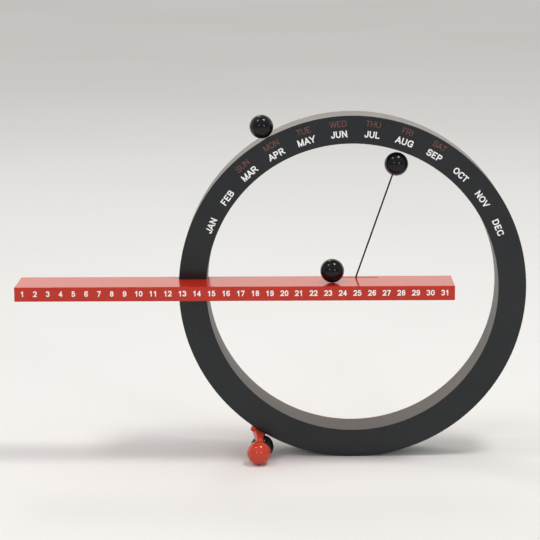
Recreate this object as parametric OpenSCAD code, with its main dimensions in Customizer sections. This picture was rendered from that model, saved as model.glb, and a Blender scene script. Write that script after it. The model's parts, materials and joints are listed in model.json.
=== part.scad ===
// Perpetual desk calendar: a ring that stands on its rim, a date bar let into the ring, and three
// magnetic marker balls. The origin is on the table, under the ring's centre, midway through its
// depth. +X is right, +Y is back and +Z is up. All sizes are in millimetres.

/* [Ring] */
// Outside diameter of the ring
ring_od = 150; // [140:1:165]
// Radial width of the ring's front face
ring_width = 12; // [11.4:0.2:14]
// Depth of the ring from its front face to its back
ring_depth = 19.2; // [18:0.2:24]
// Thickness of the ring's outer and inner walls
ring_wall = 1.8; // [1.4:0.1:2]
// Thickness of the ring's front face
face_t = 1.4; // [1.2:0.1:2]
// Width of the flat land that the ring stands on
rest_land = 6; // [4:0.5:10]
// Size of the small chamfers along the ring's and the bar's edges
edge_cut = 0.4; // [0.2:0.1:0.5]

/* [Rear cover] */
// Thickness of the plate that closes the ring's back
cover_t = 2; // [1.6:0.1:2.6]
// Diameter of the bosses that take the cover's screws
cover_boss_d = 5; // [4.6:0.1:5.4]
// Length of the cover's screws
cover_screw_len = 10; // [8:0.5:14]

/* [Bar] */
// Length of the date bar
bar_len = 187.1; // [180:0.1:200]
// Depth of the bar from its front edge to its rear edge
bar_depth = 23.2; // [22.6:0.2:28]
// Height of the bar
bar_h = 6.2; // [5.8:0.1:8]
// Distance from the ring's axis to the bar's free right end
bar_reach = 43.1; // [36:0.1:46]
// Height of the ring's axis above the bar's underside
axis_up = 1.8; // [1.6:0.1:2.4]
// Depth that the bar is let into the ring's front
bar_let_in = 6.6; // [6:0.1:8]
// Thickness of the bar's side and top walls
bar_wall = 1.5; // [1.2:0.1:1.8]
// Thickness of the plate that closes the bar's underside
under_t = 1.2; // [1.1:0.1:1.5]
// Length of the screws that hold the bar to the ring
bar_screw_len = 20; // [16:0.5:22]
// Distance between the two screws that hold the bar
bar_screw_pitch = 4.2; // [4:0.1:4.4]

/* [Dial] */
// Angle from one month or weekday to the next
label_angle = 12.02; // [11:0.01:13]
// Angle that the middle of the row of months is turned clockwise from the top
dial_turn_angle = 0.6; // [-2:0.1:2]
// Place of the weekday marker, in degrees clockwise from the top
weekday_angle = -28.9; // [-43:0.1:30]
// Place of the month marker, in degrees clockwise from the top
month_angle = 19.3; // [-60:0.1:60]
// Place of the date marker, to the right of the ring's axis
date_at = -8.8; // [-130:0.1:36]
// Distance from the bar's front edge to the line that the date marker runs on
date_inset = 8.2; // [8.1:0.1:10.4]

/* [Marker balls] */
// Diameter of every ball
ball_d = 10.2; // [9:0.1:10.8]
// Diameter of the disc magnet in each marker ball
magnet_d = 6; // [4:0.1:6.4]
// Thickness of the disc magnet
magnet_t = 3; // [2:0.1:3.4]
// Distance that the magnet sits off the ball's centre, towards the steel strip
magnet_shift = 0.6; // [0:0.1:0.8]
// Standoff between a marker ball and the surface that it rests on
ball_gap = 0.1; // [0.05:0.01:0.3]
// Air gap between the month ball and the ring's inner wall
pointer_gap = 0.85; // [0.3:0.05:1.5]

/* [Steel strips] */
// Thickness of the steel strips
strip_t = 1; // [0.6:0.1:1]
// Width of the two steel arcs in the ring
ring_strip_w = 3; // [2:0.1:4]
// Width of the steel strip in the bar
bar_strip_w = 4; // [3:0.1:4.4]
// Angle that a steel arc runs on past its last label
strip_overrun_angle = 4; // [2:0.5:6]

/* [Ballast] */
// Depth of the steel weight in the ring's base
ballast_depth = 12; // [8:0.5:13]
// Angle that the weight spans
ballast_angle = 44; // [30:1:46]
// Gap between the weight and the ring's walls
ballast_gap = 0.6; // [0.3:0.1:1]
// Diameter of the pillars that the weight sits on
ballast_post_d = 3.6; // [3.2:0.1:3.8]

/* [Month pointer] */
// Diameter of the pointer's wire
wire_d = 0.7; // [0.5:0.05:0.8]
// Depth that the wire goes into the month ball
wire_grip = 3.4; // [2:0.1:3.6]
// Diameter of the pivot pin
pin_d = 1; // [0.8:0.05:1.2]
// Diameter of the hub that turns on the pin
hub_d = 2.4; // [2:0.1:2.8]
// Width of the hub
hub_w = 1.6; // [1.2:0.1:1.8]
// Radial running clearance between the hub and the pin
pin_gap = 0.05; // [0.02:0.01:0.1]
// Clearance on each side of the hub and of the wire
swing_gap = 0.25; // [0.2:0.05:0.35]
// Thickness of the rib that holds the pin in front of the hub
rib_t = 1.6; // [1.2:0.1:2]

/* [Foot] */
// Distance that the rear foot ball's centre lies in front of the ring's face
foot_lead = 2; // [1:0.1:3]
// Sideways offset of the front foot ball from the rear one
foot_skew = 1.2; // [0:0.1:2]
// Angle round the rim from the rear foot ball to the middle of the bracket
foot_turn_angle = 3.2; // [2.4:0.1:4]
// Width of the bracket's saddle along the rim
saddle_w = 6.8; // [6.4:0.1:9]
// Thickness of the bracket's saddle
saddle_t = 2.2; // [1.8:0.1:2.6]
// Distance from the ring's front face to the back end of the saddle
saddle_len = 17.4; // [15:0.1:17.8]
// Diameter of the arm where it leaves the saddle
arm_root_d = 5; // [4:0.1:6]
// Diameter of the arm's tip where it meets the front ball
arm_tip_d = 3.2; // [2:0.1:3.4]
// Diameter of the dowels that hold the foot balls
dowel_d = 1.4; // [1:0.1:1.6]

/* [Fasteners] */
// Shank diameter of every screw
screw_d = 2; // [1.8:0.1:2.2]
// Head diameter of the countersunk screws
csk_head_d = 3.8; // [3.4:0.1:4]
// Head diameter of the pan screws
pan_head_d = 4.8; // [4.4:0.1:5.2]
// Head height of the pan screws
pan_head_h = 1.4; // [1:0.1:1.8]
// Length of the pan screws under the head
pan_screw_len = 6; // [5:0.1:6.5]
// Length of the bar cover's screws
under_screw_len = 3.6; // [3:0.1:4]
// Outside diameter of the bosses that take the bar cover's screws
under_boss_d = 4.6; // [4.2:0.1:4.8]
// Clearance round a screw that passes freely through a part
screw_free = 0.15; // [0.1:0.05:0.3]

/* [Hidden] */
$fn = 96;
rim_fn = 360;                   // facets of a preview's large round surfaces
fit_gap = 0.05;                 // between parts that seat in one another
thread_gap = 0.02;              // between a screw's thread and its pilot hole
past = 1;                       // how far a cut runs past the face that it opens
recess_share = 0.6;             // depth of a cross recess, as a share of the head's height
recess_slot = 0.25;             // width of the recess's slots, as a share of the shank
wire_root_gap = 0.15;           // from the hub's bore to the start of the wire
rib_side = 0.6;                 // how far a pivot rib runs past the hub on each side
rib_lift = 0.2;                 // from the bar's underside up to the pivot ribs
post_share = 0.32;              // place of a ballast pillar, as a share of the weight's span
foot_screw_set = [3, 9.4];      // the bracket's screws, from the saddle's back end
tip_lean = [0.07, 0.5, 0.86];   // the way from the front foot ball's centre to the arm's tip
arm_end_share = 0.86;           // narrow end of the arm's cone, as a share of its round tip
dowel_in_share = 0.5;           // where a dowel starts in its ball, as a share of the radius
dowel_saddle_share = 0.7;       // how far the rear dowel goes into the saddle's thickness
dowel_tip_share = 0.2;          // how far the front dowel goes into the arm's tip

ring_r = ring_od / 2;
bore_r = ring_r - ring_width;
mid_r = (ring_r + bore_r) / 2;
half_depth = ring_depth / 2;
ring_z = sqrt(pow(ring_r, 2) - pow(rest_land / 2, 2));
inner_wall_r = bore_r + ring_wall;
outer_wall_r = ring_r - ring_wall;
floor_z = half_depth - face_t;    // back of the front face, in the ring's frame
seat_z = cover_t - half_depth;    // where the cover seats, in the ring's frame

bar_x0 = bar_reach - bar_len;
bar_y1 = bar_let_in - half_depth;
bar_y0 = bar_y1 - bar_depth;
bar_z0 = ring_z - axis_up;
bar_z1 = bar_z0 + bar_h;
bar_mid_z = (bar_z0 + bar_z1) / 2;
under_z = bar_z0 + under_t;       // top of the underside cover
roof_z = bar_z1 - bar_wall;       // underside of the bar's top wall

ball_r = ball_d / 2;
marker_y = -half_depth + face_t + ring_strip_w / 2;
weekday_r = ring_r + ball_gap + ball_r;
month_r = bore_r - pointer_gap - ball_r;
date_y = bar_y0 + date_inset;
month_first = dial_turn_angle - 5.5 * label_angle;
month_last = dial_turn_angle + 5.5 * label_angle;
weekday_first = month_first + 2 * label_angle;
weekday_last = weekday_first + 6 * label_angle;
swing_angle = max(-month_first, month_last);    // the wire's furthest lean from upright

hub_bore_r = pin_d / 2 + pin_gap;
wire_start = hub_bore_r + wire_root_gap;
rib_half_w = hub_d / 2 + rib_side;
rib_front_y = marker_y - hub_w / 2 - swing_gap;
rib_rear_y = marker_y + hub_w / 2 + swing_gap;
rib_z0 = bar_z0 + rib_lift;
slot_half_l = (bar_z1 - ring_z) * tan(swing_angle)
    + wire_d / 2 / cos(swing_angle) + swing_gap * 2;

cover_screw_angles = [10, 70, 130, 236, 304];     // clockwise from the top, seen from the front
ballast_post_angles = [-ballast_angle * post_share, ballast_angle * post_share];
under_screw_share = [0.05, 0.3, 0.62, 0.95];      // along the bar, from its left end
bar_screw_bite = bar_screw_len - ring_depth + bar_let_in;
screw_block_y0 = bar_y1 - bar_screw_bite - bar_wall;
csk_head_h = (csk_head_d - screw_d) / 2;

rear_ball_x = -sqrt(pow(ring_r + ball_gap + ball_r, 2) - pow(ring_z - ball_r, 2));
foot_angle = atan(-rear_ball_x / (ring_z - ball_r)) + foot_turn_angle;
saddle_back_z = half_depth - saddle_len;
foot_screw_z = [saddle_back_z + foot_screw_set[0], saddle_back_z + foot_screw_set[1]];
rear_ball = [rear_ball_x, -half_depth - foot_lead, ball_r];
foot_pitch = ball_d + ball_gap;
front_ball = rear_ball - [foot_skew, sqrt(pow(foot_pitch, 2) - pow(foot_skew, 2)), 0];
tip_dir = tip_lean / norm(tip_lean);
saddle_mid_r = ring_r + saddle_t / 2;
saddle_x = -saddle_mid_r * sin(foot_angle);
saddle_z = ring_z - saddle_mid_r * cos(foot_angle);
rear_reach = [saddle_x, rear_ball[1], saddle_z] - rear_ball;
rear_dir = rear_reach / norm(rear_reach);
arm_root = [saddle_x, -half_depth + arm_root_d / 2, saddle_z];
arm_tip = front_ball + tip_dir * ball_r;
arm_len = norm(arm_tip - arm_root);
arm_dir = (arm_tip - arm_root) / arm_len;
dowel_start = ball_r * dowel_in_share;

ring_black = "#3b3b3d";
bar_red = "#c8402f";
ball_black = "#1c1c1f";
steel = "#b9bcc0";
brass = "#c2a24c";
magnet_grey = "#9a9da3";
wire_black = "#222224";

// ---- places -----------------------------------------------------------------------------------

// The ring's own frame: its axis is local Z, which points out of the front face.
module in_ring() {
    translate([0, 0, ring_z]) rotate([90, 0, 0]) children();
}

// A place on the ring at an angle clockwise from the top, with local Y pointing outwards.
module around(angle, radius = 0) {
    rotate([0, 0, -angle]) translate([0, radius, 0]) children();
}

// A child that stands along +Z is turned to lie along a direction and moved to a point.
module aim(point, dir) {
    translate(point) rotate([0, acos(dir[2]), atan2(dir[1], dir[0])]) children();
}

// A place on the marker balls' plane, with local Z pointing away from the ring's axis.
module on_marker_plane(angle, radius) {
    translate([0, marker_y, ring_z]) rotate([0, angle, 0]) translate([0, 0, radius]) children();
}

module at_month_ball() {
    on_marker_plane(month_angle, month_r) children();
}

module at_weekday_ball() {
    on_marker_plane(weekday_angle, weekday_r) children();
}

module at_date_ball() {
    translate([date_at, date_y, bar_z1 + ball_gap + ball_r]) children();
}

// ---- shapes -----------------------------------------------------------------------------------

// Part of a flat ring between two angles clockwise from the top.
module arc(r_in, r_out, from_angle, to_angle, height) {
    rotate([0, 0, 90 - to_angle])
        rotate_extrude(angle = to_angle - from_angle)
            translate([r_in, 0]) square([r_out - r_in, height]);
}

// A box between two corners.
module block(low, high) {
    translate(low) cube(high - low);
}

// Countersunk screw: the head's flat lies on Z = 0 and the shank runs down.
module csk_screw(length) {
    difference() {
        union() {
            translate([0, 0, -csk_head_h]) cylinder(h = csk_head_h, d1 = screw_d, d2 = csk_head_d);
            translate([0, 0, -length]) cylinder(h = length - csk_head_h, d = screw_d);
        }
        cross_recess(csk_head_h * recess_share);
    }
}

// Pan-head screw: the underside of the head lies on Z = 0 and the shank runs down.
module pan_screw(length) {
    difference() {
        union() {
            cylinder(h = pan_head_h, d = pan_head_d);
            translate([0, 0, -length]) cylinder(h = length, d = screw_d);
        }
        translate([0, 0, pan_head_h]) cross_recess(pan_head_h * recess_share);
    }
}

module cross_recess(depth) {
    slot_l = screw_d;
    slot_w = screw_d * recess_slot;
    for (turn = [0, 90])
        rotate([0, 0, turn])
            translate([-slot_l / 2, -slot_w / 2, -depth]) cube([slot_l, slot_w, depth + past]);
}

// The hole that a countersunk screw passes through, with the seat for its head.
module csk_hole(depth) {
    grow = screw_free * 2;
    translate([0, 0, -csk_head_h - fit_gap])
        cylinder(h = csk_head_h + fit_gap, d1 = screw_d, d2 = csk_head_d + fit_gap * 2);
    translate([0, 0, -depth]) cylinder(h = depth, d = screw_d + grow);
    cylinder(h = past, d = csk_head_d + fit_gap * 2);
}

// The hole that a screw's thread bites into.
module pilot_hole(depth) {
    translate([0, 0, -depth]) cylinder(h = depth + past, r = screw_d / 2 + thread_gap);
}

// Half of a marker ball, split across its equator. side is -1 for the front half, 1 for the rear.
module ball_half(side) {
    difference() {
        sphere(r = ball_r);
        translate([-ball_d, side > 0 ? -ball_d : 0, -ball_d]) cube([ball_d * 2, ball_d, ball_d * 2]);
    }
}

// The disc magnet of a marker ball. towards is -1 or 1: the way along Z that it is set off.
module magnet(towards, grow = 0) {
    translate([0, 0, towards * magnet_shift - magnet_t / 2 - grow])
        cylinder(h = magnet_t + grow * 2, d = magnet_d + grow * 2);
}

module marker_half(side, towards) {
    difference() {
        ball_half(side);
        magnet(towards, fit_gap);
    }
}

// The bar's outline seen from its end, with its top edges cut.
module bar_section() {
    polygon([
        [bar_y0, bar_z0], [bar_y1, bar_z0],
        [bar_y1, bar_z1 - edge_cut], [bar_y1 - edge_cut, bar_z1],
        [bar_y0 + edge_cut, bar_z1], [bar_y0, bar_z1 - edge_cut]
    ]);
}

// ---- ring -------------------------------------------------------------------------------------

// The ring's wall seen in section: a channel that is open at the back.
module ring_section() {
    polygon([
        [bore_r + edge_cut, half_depth], [ring_r - edge_cut, half_depth],
        [ring_r, half_depth - edge_cut], [ring_r, -half_depth + edge_cut],
        [ring_r - edge_cut, -half_depth], [outer_wall_r, -half_depth],
        [outer_wall_r, floor_z], [inner_wall_r, floor_z],
        [inner_wall_r, -half_depth], [bore_r + edge_cut, -half_depth],
        [bore_r, -half_depth + edge_cut], [bore_r, half_depth - edge_cut]
    ]);
}

// The solid part of the left limb that holds the bar and its screws.
module bar_tower() {
    intersection() {
        difference() {
            translate([0, 0, seat_z])
                cylinder(h = floor_z - seat_z + face_t / 2, r = ring_r - ring_wall / 2);
            translate([0, 0, seat_z - past])
                cylinder(h = ring_depth, r = bore_r + ring_wall / 2);
        }
        block(
            [-ring_r, -axis_up - ring_wall, seat_z],
            [0, bar_h - axis_up + ring_wall, half_depth]
        );
    }
}

// The room in the ring's left limb that the bar is let into.
module bar_pocket() {
    block(
        [-ring_od, -half_depth - past, bar_z0 - fit_gap],
        [0, bar_y1 + fit_gap, bar_z1 + fit_gap]
    );
}

// All that lies below the table's plane. Cutting it off leaves the land that the ring stands on.
module below_table() {
    block([-ring_r, -ring_depth, -ring_r], [ring_r, ring_depth, 0]);
}

// The two places of the screws that hold the bar, seen from the back.
module bar_screw_places(y) {
    for (side = [-1, 1])
        translate([side * bar_screw_pitch / 2 - mid_r, y, bar_mid_z]) rotate([-90, 0, 0]) children();
}

module cover_screw_places(z) {
    in_ring()
        for (angle = cover_screw_angles)
            around(angle, mid_r) translate([0, 0, z]) rotate([180, 0, 0]) children();
}

module ballast_screw_places(z) {
    in_ring()
        for (angle = ballast_post_angles)
            around(180 + angle, mid_r) translate([0, 0, z]) rotate([180, 0, 0]) children();
}

// Places on the rim above the foot bracket, with local Z pointing outwards.
module foot_screw_places(radius) {
    in_ring()
        for (z = foot_screw_z)
            around(180 + foot_angle, radius) translate([0, 0, z]) rotate([-90, 0, 0]) children();
}

module ring_front_shell() {
    post_h = floor_z - seat_z;
    color(ring_black) difference() {
        union() {
            in_ring() rotate_extrude($fn = rim_fn) ring_section();
            in_ring() bar_tower();
            cover_screw_places(floor_z + face_t / 2) cylinder(h = post_h + face_t / 2, d = cover_boss_d);
            ballast_screw_places(floor_z + face_t / 2)
                cylinder(h = ballast_depth - fit_gap + face_t / 2, d = ballast_post_d);
            foot_screw_places(outer_wall_r - pan_screw_len + saddle_t)
                cylinder(h = pan_screw_len - saddle_t + ring_wall / 2, d = cover_boss_d);
        }
        bar_pocket();
        bar_screw_places(half_depth) translate([0, 0, -ring_depth])
            cylinder(h = ring_depth, d = screw_d + screw_free * 2);
        cover_screw_places(seat_z) pilot_hole(cover_screw_len - cover_t + past);
        ballast_screw_places(floor_z - ballast_depth) pilot_hole(pan_screw_len + past);
        foot_screw_places(ring_r) pilot_hole(pan_screw_len - saddle_t + past);
        below_table();
    }
}

module ring_rear_cover() {
    color(ring_black) difference() {
        in_ring() translate([0, 0, -half_depth]) difference() {
            cylinder(h = cover_t, r = outer_wall_r - fit_gap * 2);
            translate([0, 0, -past]) cylinder(h = cover_t + past * 2, r = inner_wall_r + fit_gap * 2);
        }
        cover_screw_places(-half_depth) csk_hole(cover_t + past);
        bar_screw_places(half_depth) csk_hole(cover_t + past);
    }
}

module ring_cover_screws() {
    color(steel) cover_screw_places(-half_depth) csk_screw(cover_screw_len);
}

module weekday_steel_strip() {
    color(steel) in_ring() translate([0, 0, floor_z - ring_strip_w])
        arc(outer_wall_r - strip_t, outer_wall_r, weekday_first - strip_overrun_angle,
            weekday_last + strip_overrun_angle, ring_strip_w);
}

module month_steel_strip() {
    color(steel) in_ring() translate([0, 0, floor_z - ring_strip_w])
        arc(inner_wall_r, inner_wall_r + strip_t, month_first - strip_overrun_angle,
            month_last + strip_overrun_angle, ring_strip_w);
}

module ring_ballast() {
    color(steel) difference() {
        in_ring() translate([0, 0, floor_z - ballast_depth])
            arc(inner_wall_r + ballast_gap, outer_wall_r - ballast_gap, 180 - ballast_angle / 2,
                180 + ballast_angle / 2, ballast_depth);
        ballast_screw_places(floor_z + past)
            cylinder(h = ballast_depth + past * 2, d = ballast_post_d + fit_gap * 2);
    }
}

module ballast_screws() {
    color(steel) ballast_screw_places(floor_z - ballast_depth) pan_screw(pan_screw_len);
}

// ---- bar --------------------------------------------------------------------------------------

// The places of the bar cover's screws, along the front wall, with local Z pointing down.
module under_screw_places(z) {
    for (share = under_screw_share)
        translate([bar_x0 + bar_len * share, bar_y0 + bar_wall + under_boss_d / 2 - fit_gap, z])
            rotate([180, 0, 0]) children();
}

// The two ribs that hold the pivot pin.
module pivot_ribs() {
    top = roof_z + bar_wall / 2;
    block([-rib_half_w, rib_front_y - rib_t, rib_z0], [rib_half_w, rib_front_y, top]);
    block([-rib_half_w, rib_rear_y, rib_z0], [rib_half_w, bar_y1 - bar_wall / 2, top]);
}

module pivot_pin_shape(radius, y_front, y_rear) {
    translate([0, y_rear, ring_z]) rotate([90, 0, 0]) cylinder(h = y_rear - y_front, r = radius);
}

module bar_body() {
    color(bar_red) difference() {
        union() {
            difference() {
                translate([bar_x0, 0, 0]) rotate([90, 0, 90]) linear_extrude(bar_len) bar_section();
                block([bar_x0 + bar_wall, bar_y0 + bar_wall, bar_z0 - past],
                    [bar_reach - bar_wall, bar_y1 - bar_wall, roof_z]);
            }
            block(
                [-ring_r, screw_block_y0, under_z],
                [-bore_r, bar_y1 - bar_wall / 2, roof_z + bar_wall / 2]
            );
            under_screw_places(roof_z + bar_wall / 2)
                cylinder(h = roof_z + bar_wall / 2 - under_z, d = under_boss_d);
            pivot_ribs();
        }
        bar_screw_places(bar_y1) pilot_hole(bar_screw_bite + past / 2);
        under_screw_places(under_z) pilot_hole(under_screw_len - under_t + past / 4);
        pivot_pin_shape(pin_d / 2, rib_front_y - rib_t, bar_y1 + past);
        block([-slot_half_l, marker_y - wire_d / 2 - swing_gap, roof_z - past],
            [slot_half_l, marker_y + wire_d / 2 + swing_gap, bar_z1 + past]);
    }
}

module bar_underside_cover() {
    gap = fit_gap * 2;
    color(bar_red) difference() {
        block([bar_x0 + bar_wall + gap, bar_y0 + bar_wall + gap, bar_z0],
            [bar_reach - bar_wall - gap, bar_y1 - bar_wall - gap, under_z]);
        block([-rib_half_w - gap, rib_front_y - rib_t - gap, bar_z0 - past],
            [rib_half_w + gap, bar_y1, under_z + past]);
        under_screw_places(bar_z0) csk_hole(under_t + past);
    }
}

module bar_cover_screws() {
    color(steel) under_screw_places(bar_z0) csk_screw(under_screw_len);
}

module date_steel_strip() {
    color(steel) block([bar_x0 + bar_wall + fit_gap, date_y - bar_strip_w / 2, roof_z - strip_t],
        [bar_reach - bar_wall - fit_gap, date_y + bar_strip_w / 2, roof_z]);
}

module bar_fixing_screws() {
    color(steel) bar_screw_places(half_depth) csk_screw(bar_screw_len);
}

module pointer_pivot_pin() {
    color(steel) pivot_pin_shape(pin_d / 2, rib_front_y - rib_t, bar_y1 - fit_gap);
}

// ---- foot -------------------------------------------------------------------------------------

module saddle_block(z_back, z_front) {
    in_ring() around(180 + foot_angle, 0)
        block([-saddle_w / 2, ring_r - past, z_back], [saddle_w / 2, ring_r + saddle_t, z_front]);
}

module foot_bracket() {
    color(bar_red) difference() {
        union() {
            saddle_block(saddle_back_z, half_depth);
            aim(arm_root, arm_dir)
                cylinder(h = arm_len, d1 = arm_root_d, d2 = arm_tip_d * arm_end_share);
            translate(arm_tip) sphere(d = arm_tip_d);
        }
        in_ring() translate([0, 0, -ring_depth])
            cylinder(h = ring_depth * 3, r = ring_r + fit_gap, $fn = rim_fn);
        for (centre = [rear_ball, front_ball])
            translate(centre) sphere(r = ball_r + fit_gap, $fn = rim_fn / 2);
        foot_screw_places(ring_r + saddle_t) translate([0, 0, -saddle_t - past])
            cylinder(h = saddle_t + past * 2, d = screw_d + screw_free * 2);
        foot_dowels(dowel_d / 2 + thread_gap);
    }
}

module foot_bracket_screws() {
    color(steel) foot_screw_places(ring_r + saddle_t) pan_screw(pan_screw_len);
}

module foot_dowels(radius) {
    rear_l = ball_r - dowel_start + saddle_t * dowel_saddle_share;
    front_l = ball_r - dowel_start + arm_tip_d * dowel_tip_share;
    aim(rear_ball + rear_dir * dowel_start, rear_dir) cylinder(h = rear_l, r = radius);
    aim(front_ball + tip_dir * dowel_start, tip_dir) cylinder(h = front_l, r = radius);
}

module foot_ball_pins() {
    color(steel) foot_dowels(dowel_d / 2);
}

module foot_ball(centre) {
    difference() {
        translate(centre) sphere(r = ball_r);
        foot_dowels(dowel_d / 2 + thread_gap);
    }
}

module foot_front_ball() {
    color(bar_red) foot_ball(front_ball);
}

module foot_rear_ball() {
    color(ball_black) foot_ball(rear_ball);
}

// ---- weekday marker ---------------------------------------------------------------------------

module weekday_ball_front() {
    color(ball_black) at_weekday_ball() marker_half(-1, -1);
}

module weekday_ball_rear() {
    color(ball_black) at_weekday_ball() marker_half(1, -1);
}

module weekday_magnet() {
    color(magnet_grey) at_weekday_ball() magnet(-1);
}

// ---- month marker -----------------------------------------------------------------------------

// The wire lies along local Z, from the hub to the month ball.
module wire_shape(radius) {
    on_marker_plane(month_angle, wire_start)
        cylinder(h = month_r - ball_r + wire_grip - wire_start, r = radius);
}

module pointer_wire() {
    color(wire_black) wire_shape(wire_d / 2);
}

module pointer_hub() {
    color(brass) difference() {
        pivot_pin_shape(hub_d / 2, marker_y - hub_w / 2, marker_y + hub_w / 2);
        pivot_pin_shape(hub_bore_r, marker_y - hub_w, marker_y + hub_w);
        wire_shape(wire_d / 2 + thread_gap);
    }
}

module month_ball_half(side) {
    difference() {
        at_month_ball() marker_half(side, 1);
        wire_shape(wire_d / 2 + thread_gap);
    }
}

module month_ball_front() {
    color(ball_black) month_ball_half(-1);
}

module month_ball_rear() {
    color(ball_black) month_ball_half(1);
}

module month_magnet() {
    color(magnet_grey) at_month_ball() magnet(1);
}

// ---- date marker ------------------------------------------------------------------------------

module date_ball_front() {
    color(ball_black) at_date_ball() marker_half(-1, -1);
}

module date_ball_rear() {
    color(ball_black) at_date_ball() marker_half(1, -1);
}

module date_magnet() {
    color(magnet_grey) at_date_ball() magnet(-1);
}

ring_front_shell();
ring_rear_cover();
ring_cover_screws();
weekday_steel_strip();
month_steel_strip();
ring_ballast();
ballast_screws();
bar_body();
bar_underside_cover();
bar_cover_screws();
date_steel_strip();
bar_fixing_screws();
pointer_pivot_pin();
foot_bracket();
foot_bracket_screws();
foot_front_ball();
foot_rear_ball();
foot_ball_pins();
weekday_ball_front();
weekday_ball_rear();
weekday_magnet();
pointer_wire();
pointer_hub();
month_ball_front();
month_ball_rear();
month_magnet();
date_ball_front();
date_ball_rear();
date_magnet();
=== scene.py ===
"""Looks of a perpetual desk calendar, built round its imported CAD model.

A charcoal ring stands on its rim and carries a glossy red date bar. Three magnetic balls mark the
weekday on the rim, the month on a wire pointer, and the date on the bar. Everything is in metres,
in the model's own frame: +X is right, +Y is back and +Z is up.
"""

import json
import logging
import math
from dataclasses import dataclass, field
from enum import Enum
from typing import Callable, Iterable, Sequence

import bmesh
import bpy
import numpy as np
from mathutils import Matrix, Vector


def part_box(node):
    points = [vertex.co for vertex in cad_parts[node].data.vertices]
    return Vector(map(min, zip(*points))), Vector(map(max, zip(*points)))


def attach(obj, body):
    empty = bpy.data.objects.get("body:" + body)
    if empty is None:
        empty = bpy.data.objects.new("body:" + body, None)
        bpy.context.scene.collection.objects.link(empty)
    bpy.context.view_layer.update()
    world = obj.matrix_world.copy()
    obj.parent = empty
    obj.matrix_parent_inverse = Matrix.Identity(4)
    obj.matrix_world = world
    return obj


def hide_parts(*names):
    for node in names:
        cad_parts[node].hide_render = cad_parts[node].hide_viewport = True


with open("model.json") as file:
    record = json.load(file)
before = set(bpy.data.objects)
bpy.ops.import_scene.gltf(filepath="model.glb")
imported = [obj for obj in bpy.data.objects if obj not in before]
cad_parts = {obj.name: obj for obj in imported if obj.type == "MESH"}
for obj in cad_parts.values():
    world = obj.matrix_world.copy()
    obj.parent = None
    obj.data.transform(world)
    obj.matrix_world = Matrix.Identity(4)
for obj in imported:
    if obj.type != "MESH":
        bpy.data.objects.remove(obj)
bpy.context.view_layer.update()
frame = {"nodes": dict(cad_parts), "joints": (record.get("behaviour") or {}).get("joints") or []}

Array = np.ndarray
Object = bpy.types.Object
Point = tuple[float, float, float]

MM = 0.001
STAND = "stand"             # the body of all that stays put
MERGE_WITHIN = 0.0002 * MM  # points that lie nearer than this are one
SMALL = 1e-6                # keeps divisions and comparisons safe
SHARP_OVER = 35.0           # edges that turn by more than this many degrees are shaded sharp
PAST = 1.0 * MM             # how far a tool runs past the face that it opens
CUT_EDGE = 0.05 * MM        # edge radius of a tool that leaves flats
RIB_EDGE = 0.1 * MM         # edge radius of a rib or a window
FINE_STEPS = 2              # spans in such an edge
HOLE_STEPS = 24             # steps round a hole
BOSS_STEPS = 40             # steps round a boss
SCREW_SHARP_OVER = 40.0     # as SHARP_OVER, for screws
DRIVE_STEP = 2.4            # radians by which each screw of a group is turned on from the last

log = logging.getLogger("desk_calendar")


class Joining(Enum):
    """How a tool solid changes the piece that it is applied to."""

    CUT = "DIFFERENCE"
    ADD = "UNION"


class Head(Enum):
    """The two kinds of screw head on the calendar."""

    COUNTERSUNK = "countersunk"
    PAN = "pan"


# ---- shapes -----------------------------------------------------------------------------------


def unit(vectors: Array) -> Array:
    """Vectors divided by their own lengths.

    Args:
        vectors: One vector or many, along the last axis.

    Returns:
        The unit vectors. A vector of no length stays as it is.
    """
    vectors = np.asarray(vectors, float)
    length = np.linalg.norm(vectors, axis=-1, keepdims=True)
    return vectors / np.where(length > 0, length, 1)


@dataclass(frozen=True)
class Axis:
    """A point and a direction, with two side directions square to it."""

    origin: Point
    along: Point

    def sides(self) -> tuple[Array, Array]:
        """The two unit directions square to the axis.

        Returns:
            Side and across. The three directions are right-handed in the order side, across, along.
        """
        along = unit(self.along)
        nearly_upright = 0.9
        helper = (0.0, 0.0, 1.0) if abs(along[2]) < nearly_upright else (1.0, 0.0, 0.0)
        side = unit(np.cross(helper, along))
        return side, np.cross(along, side)

    def spokes(self, steps: int) -> Array:
        """Unit directions out of the axis, one for each step of a full turn.

        Args:
            steps: Number of steps.

        Returns:
            The side times the turn's cosine plus the across times its sine, as (steps, 3).
        """
        turn = np.linspace(0, 2 * math.pi, steps, endpoint=False)[:, None]
        side, across = self.sides()
        return np.cos(turn) * side + np.sin(turn) * across


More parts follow.
